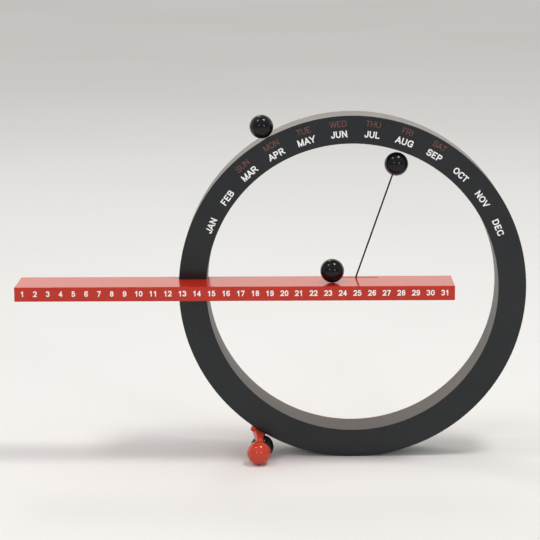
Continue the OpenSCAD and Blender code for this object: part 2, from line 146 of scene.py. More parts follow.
@dataclass
class Solid:
    """Points and faces of one shape on their way into a mesh."""

    points: Array
    faces: list[list[int]]

    @classmethod
    def from_grid(cls, grid: Array, close_rows: bool, close_columns: bool) -> "Solid":
        """A surface over a grid of points, each cell a four-sided face.

        Args:
            grid: Points as (rows, columns, 3).
            close_rows: Whether the last row is joined to the first.
            close_columns: Whether the last column is joined to the first.

        Returns:
            The surface.
        """
        rows, columns = grid.shape[:2]
        index = np.arange(rows * columns).reshape(rows, columns)
        if close_rows:
            index = np.vstack([index, index[:1]])
        if close_columns:
            index = np.hstack([index, index[:, :1]])
        cells = (index[:-1, :-1], index[1:, :-1], index[1:, 1:], index[:-1, 1:])
        return cls(grid.reshape(-1, 3), np.stack(cells, -1).reshape(-1, 4).tolist())

    def with_faces(self, faces: Iterable[Sequence[int]]) -> "Solid":
        """The same points with more faces, such as end caps."""
        return Solid(self.points, self.faces + [list(face) for face in faces])

    def turned_to(self, axes: Array, origin: Array) -> "Solid":
        """The shape in a frame: each point is the origin plus its coordinates along the three axes."""
        return Solid(self.points @ np.asarray(axes) + np.asarray(origin), self.faces)

    @classmethod
    def joined(cls, solids: Sequence["Solid"]) -> "Solid":
        """Several shapes as one.

        Args:
            solids: The shapes.

        Returns:
            One shape with all their points and faces.
        """
        starts = np.cumsum([0] + [len(s.points) for s in solids])
        faces = [
            [i + int(start) for i in face]
            for start, solid in zip(starts, solids)
            for face in solid.faces
        ]
        return cls(np.vstack([s.points for s in solids]), faces)

    def to_object(self, name: str) -> Object:
        """Makes a mesh object at the origin, with merged points and outward normals.

        Args:
            name: The object's name.

        Returns:
            The linked object.
        """
        mesh = bpy.data.meshes.new(name)
        mesh.from_pydata(self.points.tolist(), [], self.faces)
        made = bpy.data.objects.new(name, mesh)
        bpy.context.scene.collection.objects.link(made)
        tidy_mesh(made, SHARP_OVER)
        return made


def tidy_mesh(piece: Object, sharp_over: float) -> None:
    """Merges points, turns the faces outwards and marks the sharp edges.

    Args:
        piece: The mesh object.
        sharp_over: Edges that turn by more than this many degrees are shaded sharp.
    """
    work = bmesh.new()
    work.from_mesh(piece.data)
    bmesh.ops.remove_doubles(work, verts=work.verts, dist=MERGE_WITHIN)
    bmesh.ops.dissolve_degenerate(work, edges=work.edges, dist=MERGE_WITHIN)
    bmesh.ops.recalc_face_normals(work, faces=work.faces)
    limit = math.radians(sharp_over)
    for face in work.faces:
        face.smooth = True
    for edge in work.edges:
        edge.smooth = edge.is_manifold and edge.calc_face_angle(0.0) < limit
    work.to_mesh(piece.data)
    work.free()


def rounded_outline(corners: Sequence[Sequence[float]], radii: float | Sequence[float],
                    steps: int = 6) -> Array:
    """A closed outline with an arc at each corner.

    Each arc is tangent to the corner's two sides. Its centre lies on the corner's bisector, at the
    radius over the sine of half the corner's angle, and its points blend the two tangent points by
    the sines of their share of the arc.

    Args:
        corners: The outline's corners, in order.
        radii: One radius, or one for each corner. Zero keeps a corner sharp.
        steps: Number of spans in each arc.

    Returns:
        The outline's points as (n, 2).
    """
    corners = np.asarray(corners, float)
    radii = np.broadcast_to(np.asarray(radii, float), len(corners))
    before = unit(np.roll(corners, 1, axis=0) - corners)
    after = unit(np.roll(corners, -1, axis=0) - corners)
    half = np.maximum(np.arccos(np.clip((before * after).sum(axis=1), -1, 1)) / 2, SMALL)
    centre = corners + unit(before + after) * (radii / np.sin(half))[:, None]
    reach = (radii / np.tan(half))[:, None]
    start = corners + before * reach - centre
    end = corners + after * reach - centre
    turn = np.maximum(math.pi - 2 * half, SMALL)[:, None]
    share = np.linspace(0, 1, steps + 1)
    from_start = np.sin((1 - share) * turn) / np.sin(turn)
    from_end = np.sin(share * turn) / np.sin(turn)
    arcs = from_start[..., None] * start[:, None] + from_end[..., None] * end[:, None]
    return (centre[:, None] + arcs).reshape(-1, 2)


def turned(outline: Array, axis: Axis, steps: int, ring: bool = False) -> Solid:
    """Carries an outline round an axis.

    A point is the axis's origin, plus its height along the axis, plus its radius along a spoke.

    Args:
        outline: (radius, height) pairs. Unless ring is set, it starts and ends on the axis.
        axis: What the outline is carried round.
        steps: Number of steps in a full turn.
        ring: Whether the outline is closed and stays clear of the axis.

    Returns:
        The shape.
    """
    outline = np.asarray(outline, float)
    heights = outline[:, None, 1:] * unit(axis.along)
    grid = np.asarray(axis.origin) + heights + outline[:, None, :1] * axis.spokes(steps)[None]
    return Solid.from_grid(grid, close_rows=ring, close_columns=True)


def rod(axis: Axis, radius: float, low: float, high: float, steps: int = 48, edge: float = 0.0) -> Solid:
    """A round rod along an axis, with rounded end edges.

    Args:
        axis: The rod's axis.
        radius: Its radius.
        low: Height of its lower end along the axis.
        high: Height of its upper end along the axis.
        steps: Number of steps in a full turn.
        edge: Radius of its end edges.

    Returns:
        The shape.
    """
    edge_steps = 3
    corners = [(0, low), (radius, low), (radius, high), (0, high)]
    return turned(rounded_outline(corners, (0, edge, edge, 0), edge_steps), axis, steps)


def rounded_block(low: Array, high: Array, radius: float, steps: int) -> Solid:
    """A box with rounded edges and corners.

    For a direction on a sphere, a point is the inner box's corner on that side plus the radius
    times the direction. Eight patches, one for each corner, share their borders, and the spans
    between them are the flat faces. The two X faces are closed with a cap each.

    Args:
        low: The box's lowest corner.
        high: The box's highest corner.
        radius: Radius of all its edges.
        steps: Number of spans in a quarter turn.

    Returns:
        The shape.
    """
    low, high = np.asarray(low, float), np.asarray(high, float)
    quarter = np.linspace(0, math.pi / 2, steps + 1)
    around = np.concatenate([quarter + q * math.pi / 2 for q in range(4)])
    sign_y = np.repeat([1, -1, -1, 1], steps + 1)
    sign_z = np.repeat([1, 1, -1, -1], steps + 1)
    lift = np.concatenate([quarter - math.pi / 2, quarter])
    sign_x = np.repeat([-1, 1], steps + 1)
    shape = (len(lift), len(around))
    direction = np.stack([
        np.broadcast_to(np.sin(lift)[:, None], shape),
        np.cos(lift)[:, None] * np.cos(around),
        np.cos(lift)[:, None] * np.sin(around),
    ], axis=-1)
    signs = np.stack([
        np.broadcast_to(sign_x[:, None], shape),
        np.broadcast_to(sign_y, shape),
        np.broadcast_to(sign_z, shape),
    ], axis=-1)
    grid = (low + high) / 2 + signs * ((high - low) / 2 - radius) + radius * direction
    first = [q * (steps + 1) for q in range(4)]
    last_row = (shape[0] - 1) * shape[1]
    caps = [first[::-1], [last_row + i for i in first]]
    return Solid.from_grid(grid, close_rows=False, close_columns=True).with_faces(caps)


def apply_modifiers(piece: Object) -> None:
    """Swaps a piece's mesh for the one that its modifiers make.

    Args:
        piece: The mesh object.
    """
    old, graph = piece.data, bpy.context.evaluated_depsgraph_get()
    new = bpy.data.meshes.new_from_object(piece.evaluated_get(graph))
    piece.modifiers.clear()
    piece.data = new
    bpy.data.meshes.remove(old)
    new.name = piece.name


def carve(piece: Object, tools: Sequence[Solid], how: Joining, sharp_over: float = SHARP_OVER) -> None:
    """Adds tool solids to a piece, or cuts them out of it, one after the other.

    Args:
        piece: The closed mesh to change.
        tools: Closed shapes.
        how: Whether they are added or cut.
        sharp_over: Edges that turn by more than this many degrees are shaded sharp.
    """
    helpers = []
    for number, tool in enumerate(tools):
        helper = tool.to_object(f"tool_{number}")
        step = piece.modifiers.new(helper.name, "BOOLEAN")
        step.object = helper
        step.operation = how.value
        step.solver = "MANIFOLD"
        helpers.append(helper)
    apply_modifiers(piece)
    for helper in helpers:
        mesh = helper.data
        bpy.data.objects.remove(helper)
        bpy.data.meshes.remove(mesh)
    tidy_mesh(piece, sharp_over)


def islands(node: str) -> list[Array]:
    """The separate solids of a CAD node.

    Args:
        node: The node's name.

    Returns:
        One array of points for each solid, ordered by their places.
    """
    work = bmesh.new()
    work.from_mesh(frame["nodes"][node].data)
    bmesh.ops.remove_doubles(work, verts=work.verts, dist=MERGE_WITHIN)
    found, left = [], set(work.verts)
    while left:
        front = [left.pop()]
        members = []
        while front:
            vertex = front.pop()
            members.append(tuple(vertex.co))
            near = [e.other_vert(vertex) for e in vertex.link_edges]
            fresh = [v for v in near if v in left]
            left.difference_update(fresh)
            front.extend(fresh)
        found.append(np.array(members))
    work.free()
    decimals = 6
    return sorted(found, key=lambda points: tuple(middle(points).round(decimals)))


def middle(points: Array) -> Array:
    """Centre of the box round some points."""
    return (points.min(axis=0) + points.max(axis=0)) / 2


def middles(node: str) -> list[Array]:
    """Centres of a CAD node's separate solids."""
    return [middle(points) for points in islands(node)]


def node_box(node: str) -> tuple[Array, Array]:
    """Lowest and highest corner of a CAD node."""
    low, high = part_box(node)
    return np.array(low), np.array(high)


def node_points(node: str) -> Array:
    """The points of a CAD node.

    Args:
        node: The node's name.

    Returns:
        Its points as (n, 3).
    """
    points = np.zeros(len(frame["nodes"][node].data.vertices) * 3, np.float32)
    frame["nodes"][node].data.vertices.foreach_get("co", points)
    return points.reshape(-1, 3).astype(float)


# ---- finishes ---------------------------------------------------------------------------------


def linear(colour: str) -> tuple[float, float, float, float]:
    """A colour as linear light.

    A part of up to 0.04045 is divided by 12.92. A larger one has 0.055 added, is divided by 1.055
    and is raised to the power of 2.4.

    Args:
        colour: The colour as #rrggbb.

    Returns:
        Red, green, blue and full cover.
    """
    parts = [int(colour[i:i + 2], 16) / 255 for i in (1, 3, 5)]
    light = [p / 12.92 if p <= 0.04045 else ((p + 0.055) / 1.055) ** 2.4 for p in parts]
    return (*light, 1.0)


@dataclass(frozen=True)
class Value:
    """One output socket of a material, with Python's operators for the sums on it."""

    recipe: "Recipe"
    socket: bpy.types.NodeSocket

    def _maths(self, operation: str, first: "Value | float", second: "Value | float") -> "Value":
        """A Math node on two values."""
        return self.recipe.node("ShaderNodeMath", {"operation": operation}, {0: first, 1: second})

    def __add__(self, other: "Value | float") -> "Value":
        """The sum."""
        return self._maths("ADD", self, other)

    def __sub__(self, other: "Value | float") -> "Value":
        """The difference."""
        return self._maths("SUBTRACT", self, other)

    def __rsub__(self, other: float) -> "Value":
        """The difference, with this value taken away."""
        return self._maths("SUBTRACT", other, self)

    def __mul__(self, other: "Value | float") -> "Value":
        """The product."""
        return self._maths("MULTIPLY", self, other)

    __radd__ = __add__
    __rmul__ = __mul__

    def above(self, low: float, high: float) -> "Value":
        """Nought up to low, one from high on, and a straight slope between them."""
        sockets = {"Value": self, "From Min": low, "From Max": high, "To Min": 0.0, "To Max": 1.0}
        return self.recipe.node("ShaderNodeMapRange", {"clamp": True}, sockets)

    def swing(self, amount: float) -> "Value":
        """A noise's swing about its middle of a half, times an amount."""
        return (self - 0.5) * amount


@dataclass(frozen=True)
class Pattern:
    """Soft noise in a finish, and what its spots do there. Sizes are in millimetres.

    A spot fades in as the noise rises through the span. It takes the finish's colour to its shade by
    up to the tint, and adds up to rough to its roughness.
    """

    size: float
    detail: float = 2.0
    span: tuple[float, float] = (0.0, 1.0)
    swirl: float = 0.0
    stretch: Point = (1, 1, 1)
    tint: float = 0.0
    rough: float = 0.0


class Recipe:
    """The node tree of a material or of the surround."""

    def __init__(self, owner: bpy.types.Material | bpy.types.World) -> None:
        """Starts with an empty tree.

        Args:
            owner: What the tree belongs to.
        """
        owner.use_nodes = True
        self.tree = owner.node_tree
        self.tree.nodes.clear()

    def node(self, kind: str, settings: dict | None = None, sockets: dict | None = None,
             out: int | str = 0) -> Value:
        """Adds a node.

        Args:
            kind: The node's type.
            settings: Its properties, set first.
            sockets: Values or links of its inputs, by name or number.
            out: The output that is returned.

        Returns:
            The chosen output.
        """
        made = self.tree.nodes.new(kind)
        for key, value in (settings or {}).items():
            setattr(made, key, value)
        for key, value in (sockets or {}).items():
            if isinstance(value, Value):
                self.tree.links.new(value.socket, made.inputs[key])
            else:
                made.inputs[key].default_value = value
        return Value(self, made.outputs[out])

    def place(self, stretch: Point = (1, 1, 1)) -> Value:
        """Object coordinates in millimetres.

        Args:
            stretch: How much finer a pattern gets along X, Y and Z.

        Returns:
            The coordinates.
        """
        source = self.node("ShaderNodeTexCoord", out="Object")
        scale = tuple(s / MM for s in stretch)
        return self.node("ShaderNodeMapping", None, {"Vector": source, "Scale": scale})

    def noise(self, pattern: Pattern) -> Value:
        """A pattern's soft noise.

        Args:
            pattern: The pattern.

        Returns:
            The noise, around a half.
        """
        sockets = {
            "Vector": self.place(pattern.stretch), "Scale": 1 / pattern.size,
            "Detail": pattern.detail, "Distortion": pattern.swirl,
        }
        return self.node("ShaderNodeTexNoise", {"noise_dimensions": "3D"}, sockets)

    def spots(self, pattern: Pattern) -> Value:
        """A pattern's spots, one inside them and nought between them."""
        return self.noise(pattern).above(*pattern.span)

    def specks(self, spacing: float, size: float) -> Value:
        """Small round specks, one where a cell of a Voronoi pattern has its point.

        Args:
            spacing: Average distance between specks, in millimetres.
            size: Their radius as a share of the spacing.

        Returns:
            One on a speck and nought off it.
        """
        soft_from = 0.6
        sockets = {"Vector": self.place(), "Scale": 1 / spacing}
        distance = self.node("ShaderNodeTexVoronoi", {"feature": "F1"}, sockets, "Distance")
        return 1.0 - distance.above(size * soft_from, size)

    def mix(self, factor: Value, first: Value | tuple, second: Value | tuple) -> Value:
        """A colour between two, by a factor."""
        settings = {"data_type": "RGBA", "clamp_factor": True}
        return self.node("ShaderNodeMix", settings, {0: factor, 6: first, 7: second}, 2)

    def bump(self, height: Value, depth: float) -> Value:
        """A normal that is tilted by a height pattern, whose full height is so many millimetres."""
        sockets = {"Height": height, "Distance": depth * MM, "Strength": 1.0}
        return self.node("ShaderNodeBump", None, sockets)

    def end(self, kind: str, shader: Value) -> None:
        """Adds an output of a kind and links a shader to it."""
        output = self.tree.nodes.new(kind)
        self.tree.links.new(shader.socket, output.inputs["Surface"])


@dataclass(frozen=True)
class Finish:
    """A finish that is made into a material once and then shared. Its patterns fade to its shade."""

    name: str
    colour: str
    shade: str

    def shader_sockets(self, recipe: Recipe) -> dict:
        """The shader's inputs, worked out in a recipe. Each finish has its own."""
        raise NotImplementedError

    def tinted(self, recipe: Recipe, amount: Value) -> Value:
        """The finish's colour, taken to its shade by an amount."""
        return recipe.mix(amount, linear(self.colour), linear(self.shade))

    def material(self) -> bpy.types.Material:
        """The finish's material, made on first use.

        Returns:
            The material, which all pieces with this finish share.
        """
        made = bpy.data.materials.get(self.name)
        if not made:
            made = bpy.data.materials.new(self.name)
            recipe = Recipe(made)
            shader = recipe.node("ShaderNodeBsdfPrincipled", None, self.shader_sockets(recipe))
            recipe.end("ShaderNodeOutputMaterial", shader)
        return made

    def on(self, piece: Object) -> None:
        """Gives a piece this finish alone."""
        piece.data.materials.clear()
        piece.data.materials.append(self.material())


@dataclass(frozen=True)
class SatinMoulding(Finish):
    """Moulded plastic from a spark-eroded tool: a fine even grain with a satin sheen.

    The bore is a radius about the ring's axis, and both are given in millimetres. The bore's look
    fades in over its slope.
    """

    roughness: float = 0.27
    gloss: float = 0.38
    axis_height: float = 74.94
    bore: float = 63.3
    bore_slope: float = 0.3
    bore_roughness: float = 0.15
    # painted light: a paler colour for the bore's inner wall, in place of the light that it catches
    bore_shade: str = "#423f3c"
    clouds: Pattern = Pattern(22, 3, (0.3, 0.7), swirl=0.4, tint=0.3, rough=0.1)
    rubbed: Pattern = Pattern(4.5, 5, (0.56, 0.8), tint=0.18, rough=-0.05)
    dusty: Pattern = Pattern(9, 1, (0.5, 0.62), tint=0.4)
    dust: str = "#7f7d78"
    speck_spacing: float = 3.1
    speck_size: float = 0.035
    grain: Pattern = Pattern(0.16, rough=0.14)
    coarse_grain: Pattern = Pattern(0.5)
    coarse_share: float = 0.6
    grain_depth: float = 0.005

    def shader_sockets(self, recipe: Recipe) -> dict:
        """Charcoal with faint clouds, rubbed patches and a grain. The ring's bore is rougher, and it is
        painted paler, as painted light on its inner wall.

        The bore is where a point's distance from the ring's axis is less than the bore's radius. The
        distance is the length of the point less the axis's height, with its Y left out.

        Args:
            recipe: The material's node tree.

        Returns:
            Values of the shader's inputs, by name.
        """
        clouds, grain = recipe.noise(self.clouds), recipe.noise(self.grain)
        rubbed = recipe.spots(self.rubbed)
        dust = recipe.specks(self.speck_spacing, self.speck_size) * recipe.spots(self.dusty)
        wear = clouds.above(*self.clouds.span) * self.clouds.tint + rubbed * self.rubbed.tint
        offset = recipe.node("ShaderNodeVectorMath", {"operation": "MULTIPLY_ADD"}, {
            0: recipe.place(), 1: (1, 0, 1), 2: (0, 0, -self.axis_height)})
        from_axis = recipe.node("ShaderNodeVectorMath", {"operation": "LENGTH"}, {0: offset}, "Value")
        inside = 1 - from_axis.above(self.bore - self.bore_slope, self.bore)
        # painted light: the bore is coloured paler than the face, in place of the light that its inner wall
        # catches
        base = recipe.mix(inside, self.tinted(recipe, wear), linear(self.bore_shade))
        height = grain + recipe.noise(self.coarse_grain) * self.coarse_share
        return {
            "Base Color": recipe.mix(dust * self.dusty.tint, base, linear(self.dust)),
            "Roughness": (self.roughness + inside * self.bore_roughness + rubbed * self.rubbed.rough
                          + clouds.swing(self.clouds.rough) + grain.swing(self.grain.rough)),
            "Specular IOR Level": self.gloss,
            "Normal": recipe.bump(height, self.grain_depth),
        }


@dataclass(frozen=True)
class GlossResin(Finish):
    """Polished moulded resin: deep even colour with a clear glossy skin."""

    roughness: float = 0.13
    gloss: float = 0.3
    depth: Pattern = Pattern(16, span=(0.3, 0.75), tint=0.3)
    haze: Pattern = Pattern(7, 4, (0.45, 0.75), swirl=0.6, rough=0.05)
    hairlines: Pattern = Pattern(0.35, span=(0.7, 0.76), stretch=(0.04, 1, 1), rough=0.05)
    hairline_share: float = 0.05
    peel: Pattern = Pattern(2.6, 1)
    peel_depth: float = 0.0012

    def shader_sockets(self, recipe: Recipe) -> dict:
        """Even colour with a trace of depth, faint orange peel, handling haze and hairline marks.

        Args:
            recipe: The material's node tree.

        Returns:
            Values of the shader's inputs, by name.
        """
        haze, hairlines = recipe.spots(self.haze), recipe.spots(self.hairlines)
        height = recipe.noise(self.peel) + hairlines * self.hairline_share
        return {
            "Base Color": self.tinted(recipe, recipe.spots(self.depth) * self.depth.tint),
            "Roughness": self.roughness + haze * self.haze.rough + hairlines * self.hairlines.rough,
            "Specular IOR Level": self.gloss,
            "Normal": recipe.bump(height, self.peel_depth),
        }


@dataclass(frozen=True)
class PadInk(Finish):
    """Pad-printed ink: flat and slightly uneven in cover."""

    roughness: float = 0.46
    thin_roughness: float = 0.15
    gloss: float = 0.3
    patches: Pattern = Pattern(1.4, 4, (0.35, 0.75), tint=0.4)
    pinholes: Pattern = Pattern(0.12, 1, (0.62, 0.8), tint=0.3)
    tooth: Pattern = Pattern(0.14)
    tooth_depth: float = 0.004

    def shader_sockets(self, recipe: Recipe) -> dict:
        """Ink that thins out in fine pinholes and soft patches.

        Args:
            recipe: The material's node tree.

        Returns:
            Values of the shader's inputs, by name.
        """
        patches, pinholes = recipe.spots(self.patches), recipe.spots(self.pinholes)
        thin = patches * self.patches.tint + pinholes * self.pinholes.tint
        return {
            "Base Color": self.tinted(recipe, thin),
            "Roughness": self.roughness + thin * self.thin_roughness,
            "Specular IOR Level": self.gloss,
            "Normal": recipe.bump(recipe.noise(self.tooth), self.tooth_depth),
        }


@dataclass(frozen=True)
class BareMetal(Finish):
    """Plain or plated metal with the marks of how it was made."""

    roughness: float = 0.28
    line_size: float = 0.4
    line_detail: float = 3.0
    line_stretch: Point = (1, 1, 1)
    line_rough: float = 0.2
    line_depth: float = 0.002
    patches: Pattern = Pattern(3.2, 4, (0.4, 0.75), swirl=0.5, tint=0.6, rough=0.14)
    patch_metal: float = 0.12

    def shader_sockets(self, recipe: Recipe) -> dict:
        """Metal with drawn or rolled lines along one direction, and dull patches.

        Args:
            recipe: The material's node tree.

        Returns:
            Values of the shader's inputs, by name.
        """
        lines = recipe.noise(Pattern(self.line_size, self.line_detail, stretch=self.line_stretch))
        patches = recipe.spots(self.patches)
        return {
            "Base Color": self.tinted(recipe, patches * self.patches.tint),
            "Metallic": 1.0 - patches * self.patch_metal,
            "Roughness": self.roughness + patches * self.patches.rough + lines.swing(self.line_rough),
            "Normal": recipe.bump(lines, self.line_depth),
        }


@dataclass(frozen=True)
class Enamel(Finish):
    """Thin black enamel on drawn wire, rubbed a little along its length."""

    roughness: float = 0.36
    gloss: float = 0.15
    rubbed: Pattern = Pattern(1.8, 5, (0.6, 0.78), tint=0.5, rough=0.12)
    streaks: Pattern = Pattern(0.2, rough=0.08)
    tooth: Pattern = Pattern(0.25, 3)
    tooth_depth: float = 0.004

    def shader_sockets(self, recipe: Recipe) -> dict:
        """Black enamel with rubbed spots where the wire shows through.

        Args:
            recipe: The material's node tree.

        Returns:
            Values of the shader's inputs, by name.
        """
        rubbed, streaks = recipe.spots(self.rubbed), recipe.noise(self.streaks)
        return {
            "Base Color": self.tinted(recipe, rubbed * self.rubbed.tint),
            "Roughness": self.roughness + rubbed * self.rubbed.rough + streaks * self.streaks.rough,
            "Specular IOR Level": self.gloss,
            "Normal": recipe.bump(recipe.noise(self.tooth), self.tooth_depth),
        }


@dataclass(frozen=True)
class Floor(Finish):
    """The pale surface that the calendar stands on."""

    roughness: float = 0.75
    gloss: float = 0.3
    clouds: Pattern = Pattern(420, 3, (0.3, 0.7), tint=0.4)
    tooth: Pattern = Pattern(1.5)
    tooth_depth: float = 0.02

    def shader_sockets(self, recipe: Recipe) -> dict:
        """Pale matt paper with the faintest tooth.

        Args:
            recipe: The material's node tree.

        Returns:
            Values of the shader's inputs, by name.
        """
        return {
            "Base Color": self.tinted(recipe, recipe.spots(self.clouds) * self.clouds.tint),
            "Roughness": self.roughness,
            "Specular IOR Level": self.gloss,
            "Normal": recipe.bump(recipe.noise(self.tooth), self.tooth_depth),
        }


CHARCOAL = SatinMoulding("charcoal_moulding", "#171b1e", "#2a2e31")
COVER_CHARCOAL = SatinMoulding(
    "charcoal_cover", "#1d2023", "#2a2e31", roughness=0.42, grain=Pattern(0.24, rough=0.14),
    grain_depth=0.014)
BAR_RED = GlossResin("red_resin", "#c42b17", "#b6210e", gloss=0.38)
FOOT_RED = GlossResin("red_foot_resin", "#ca4029", "#b32e18", gloss=0.42, peel=Pattern(1.8, 1))
BALL_BLACK = GlossResin(
    "black_ball_resin", "#0e0f11", "#181a1d", roughness=0.1, gloss=0.27, peel=Pattern(1.9, 1))
WHITE_INK = PadInk("white_ink", "#ffffff", "#efeeea")
RUST_INK = PadInk("rust_ink", "#80524c", "#6a4542")
SCREW_STEEL = BareMetal("zinc_screw", "#c3c6cb", "#9a9da0", line_size=0.25)
STRIP_STEEL = BareMetal("rolled_strip", "#aeb1b5", "#7e8083", roughness=0.36, line_stretch=(1, 6, 1))
PIN_STEEL = BareMetal(
    "ground_pin", "#d0d2d5", "#8d9095", roughness=0.18, line_size=0.12, line_stretch=(1, 0.05, 1))
BALLAST_IRON = BareMetal(
    "cast_ballast", "#6d6a66", "#4c4946", roughness=0.58, line_size=0.9, line_depth=0.04)
MAGNET_NICKEL = BareMetal("nickel_magnet", "#d7d4cb", "#bdb9ae", roughness=0.14, line_size=1.1)
HUB_BRASS = BareMetal(
    "turned_brass", "#d2ac55", "#a8853e", roughness=0.24, line_size=0.5, line_stretch=(1, 12, 1))
WIRE_BLACK = Enamel("black_wire", "#0c0c0d", "#333438")
FLOOR_PALE = Floor("pale_floor", "#eff1f0", "#e6e7e5")


def dress(piece: Object, finish: Finish, body: str,
          nodes: Sequence[str] = (), flats: bool = False) -> None:
    """Gives a finished piece its finish, and ties it to its body and to what it stands for.

    Args:
        piece: The piece.
        finish: Its finish.
        body: The CAD body that it moves with.
        nodes: The CAD nodes that it stands for.
        flats: Whether its large flats are kept flat, by normals weighted by face area.
    """
    finish.on(piece)
    if flats:
        shading = piece.modifiers.new("even_shading", "WEIGHTED_NORMAL")
        shading.mode = "FACE_AREA_WITH_ANGLE"
        shading.keep_sharp = True
    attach(piece, body)
    if nodes:
        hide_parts(*nodes)
    log.info("piece %s rides on %s, %d points", piece.name, body, len(piece.data.vertices))


def keep_node(node: str, finish: Finish) -> None:
    """Leaves a CAD node showing, with a finish of its own."""
    finish.on(frame["nodes"][node])
    log.info("node %s keeps its solid, in %s", node, finish.name)


# ---- screws -----------------------------------------------------------------------------------


def depthwise(x: float, z: float) -> Axis:
    """An axis that runs from front to back through a place seen from the front."""
    return Axis((x, 0, z), (0, 1, 0))


def upright(x: float, y: float) -> Axis:
    """An axis that runs upwards through a place seen from above."""
    return Axis((x, y, 0), (0, 0, 1))


def flat_turn(angle: float) -> Array:
    """The matrix that turns rows of (x, y) points by an angle in radians."""
    return np.array([(math.cos(angle), math.sin(angle)), (-math.sin(angle), math.cos(angle))])


@dataclass(frozen=True)
class Screw:
    """A cross-recessed screw. Its head's seat plane and its axis place it.

    The rim is the bevel of its head's edge. A countersunk head has an upright band under it, down to
    rim_end, where the cone starts. The thread fades over one part in thread_fade of its length.
    """

    head: Head
    length: float
    head_width: float
    head_height: float
    shank: float = 2.0 * MM
    core: float = 1.5 * MM
    pitch: float = 0.8 * MM
    rim: float = 0.06 * MM
    rim_end: float = 0.15 * MM
    pan_edge: float = 0.3 * MM
    recess_length: float = 2.1 * MM
    recess_width: float = 0.55 * MM
    recess_depth: float = 0.75 * MM
    recess_narrowing: float = 0.62
    pilot_gap: float = 0.02 * MM
    passage_gap: float = 0.15 * MM
    cone_gap: float = 0.05 * MM
    head_points: int = 12
    rows_per_turn: int = 7
    thread_fade: float = 12.0
    steps: int = 60
    sink_steps: int = 48

    @property
    def top(self) -> float:
        """Height of the head's middle over the seat plane."""
        return self.head_height if self.head is Head.PAN else 0.0

    @property
    def pilot(self) -> float:
        """Radius of the hole that the thread bites into."""
        return self.shank / 2 + self.pilot_gap

    @property
    def passage(self) -> float:
        """Radius of the hole that the screw passes freely through."""
        return self.shank / 2 + self.passage_gap

    def _head_outline(self) -> Array:
        """The head's outline. A pan head's crown falls by the fourth power of the share of its radius.

        Returns:
            (radius, height) pairs from the head's middle down to the start of the shank.
        """
        wide, thin, rim = self.head_width / 2, self.shank / 2, self.rim
        share = np.linspace(0, 1, self.head_points)[:, None]
        fall = self.pan_edge if self.head is Head.PAN else 0.0
        face = np.hstack([share * (wide - rim), self.top - fall * share ** 4])
        if self.head is Head.PAN:
            side = [(wide, self.top - fall - rim), (wide, rim), (wide - rim, 0), (thin, 0)]
        else:
            side = [(wide, -rim), (wide, -self.rim_end), (thin, -self.head_height)]
        return np.vstack([face, side])

    def build(self, seat: Axis) -> Solid:
        """The screw as one surface over (row, turn), from the middle of its head to its tip.

        The thread's radius swings between core and shank with the saw wave of the height over the
        pitch, less the turn's share of a full turn, and fades out at both ends.

        Args:
            seat: The point where the head meets its seat plane, and the direction out of the work.

        Returns:
            The shape, with no recess yet.
        """
        part_turn = np.linspace(0, 1, self.steps, endpoint=False)
        ones = np.ones_like(part_turn)
        head = self._head_outline()
        start = head[-1, 1]
        rows = np.linspace(0, 1, int((self.length + start) / self.pitch * self.rows_per_turn))[:, None]
        height = start + (-self.length + self.shank / 2 - start) * rows
        ridge = np.abs(2 * np.mod(height / self.pitch - part_turn, 1) - 1)
        fade = np.clip(np.minimum(rows, 1 - rows) * self.thread_fade, 0, 1)
        thread = self.core / 2 + (self.shank - self.core) / 2 * ridge * fade
        radii = np.vstack([head[:, :1] * ones, thread, 0 * ones[None]])
        heights = np.vstack([head[:, 1:] * ones, height * ones, -self.length * ones[None]])
        grid = np.asarray(seat.origin) + radii[..., None] * seat.spokes(self.steps)
        grid = grid + heights[..., None] * unit(seat.along)
        return Solid.from_grid(grid, close_rows=False, close_columns=True)

    def sink(self, seat: Axis, depth: float) -> Solid:
        """The tool for a hole that a countersunk screw passes through, with its cone.

        Args:
            seat: The screw's seat.
            depth: How far the hole runs below the seat plane and opens above it.

        Returns:
            The shape.
        """
        wide, fit = self.head_width / 2 + self.cone_gap, self.pilot_gap
        cone_end = -self.head_height - 2 * self.cone_gap
        outline = [
            (0, -depth), (self.passage, -depth), (self.passage, cone_end),
            (wide, -fit), (wide, depth), (0, depth),
        ]
        return turned(outline, seat, self.sink_steps)

    def recess(self, seat: Axis, turn: float) -> Solid:
        """The tool that cuts the recess: a cross that narrows towards its floor.

        Args:
            seat: The screw's seat.
            turn: How far the cross is turned, in radians.

        Returns:
            The shape, from a little above the head down to the recess's floor.
        """
        tip, arm = self.recess_length / 2, self.recess_width / 2
        quarter = np.array([(arm, tip), (arm, arm), (tip, arm)])
        cross = np.vstack([quarter @ flat_turn(turn - q * math.pi / 2) for q in range(4)])
        mouth = (1 + self.rim / arm, self.top + self.rim)
        floor = (self.recess_narrowing, self.top - self.recess_depth)
        count = len(cross)
        rows = [np.column_stack([cross * size, np.full(count, level)]) for size, level in (mouth, floor)]
        tool = Solid.from_grid(np.stack(rows), close_rows=False, close_columns=True)
        tool = tool.with_faces([range(count), range(2 * count - 1, count - 1, -1)])
        return tool.turned_to(np.array([*seat.sides(), unit(seat.along)]), np.asarray(seat.origin))


def build_screws(name: str, screw: Screw, seats: Sequence[Axis], node: str) -> None:
    """Makes a group of like screws as one piece, each driven home to an angle of its own.

    Args:
        name: The piece's name.
        screw: The screw.
        seats: Where each one sits.
        node: The CAD node that the piece stands for.
    """
    piece = Solid.joined([screw.build(seat) for seat in seats]).to_object(name)
    recesses = [screw.recess(seat, DRIVE_STEP * number) for number, seat in enumerate(seats, 1)]
    carve(piece, [Solid.joined(recesses)], Joining.CUT, SCREW_SHARP_OVER)
    dress(piece, SCREW_STEEL, STAND, [node])


# ---- the ring ---------------------------------------------------------------------------------


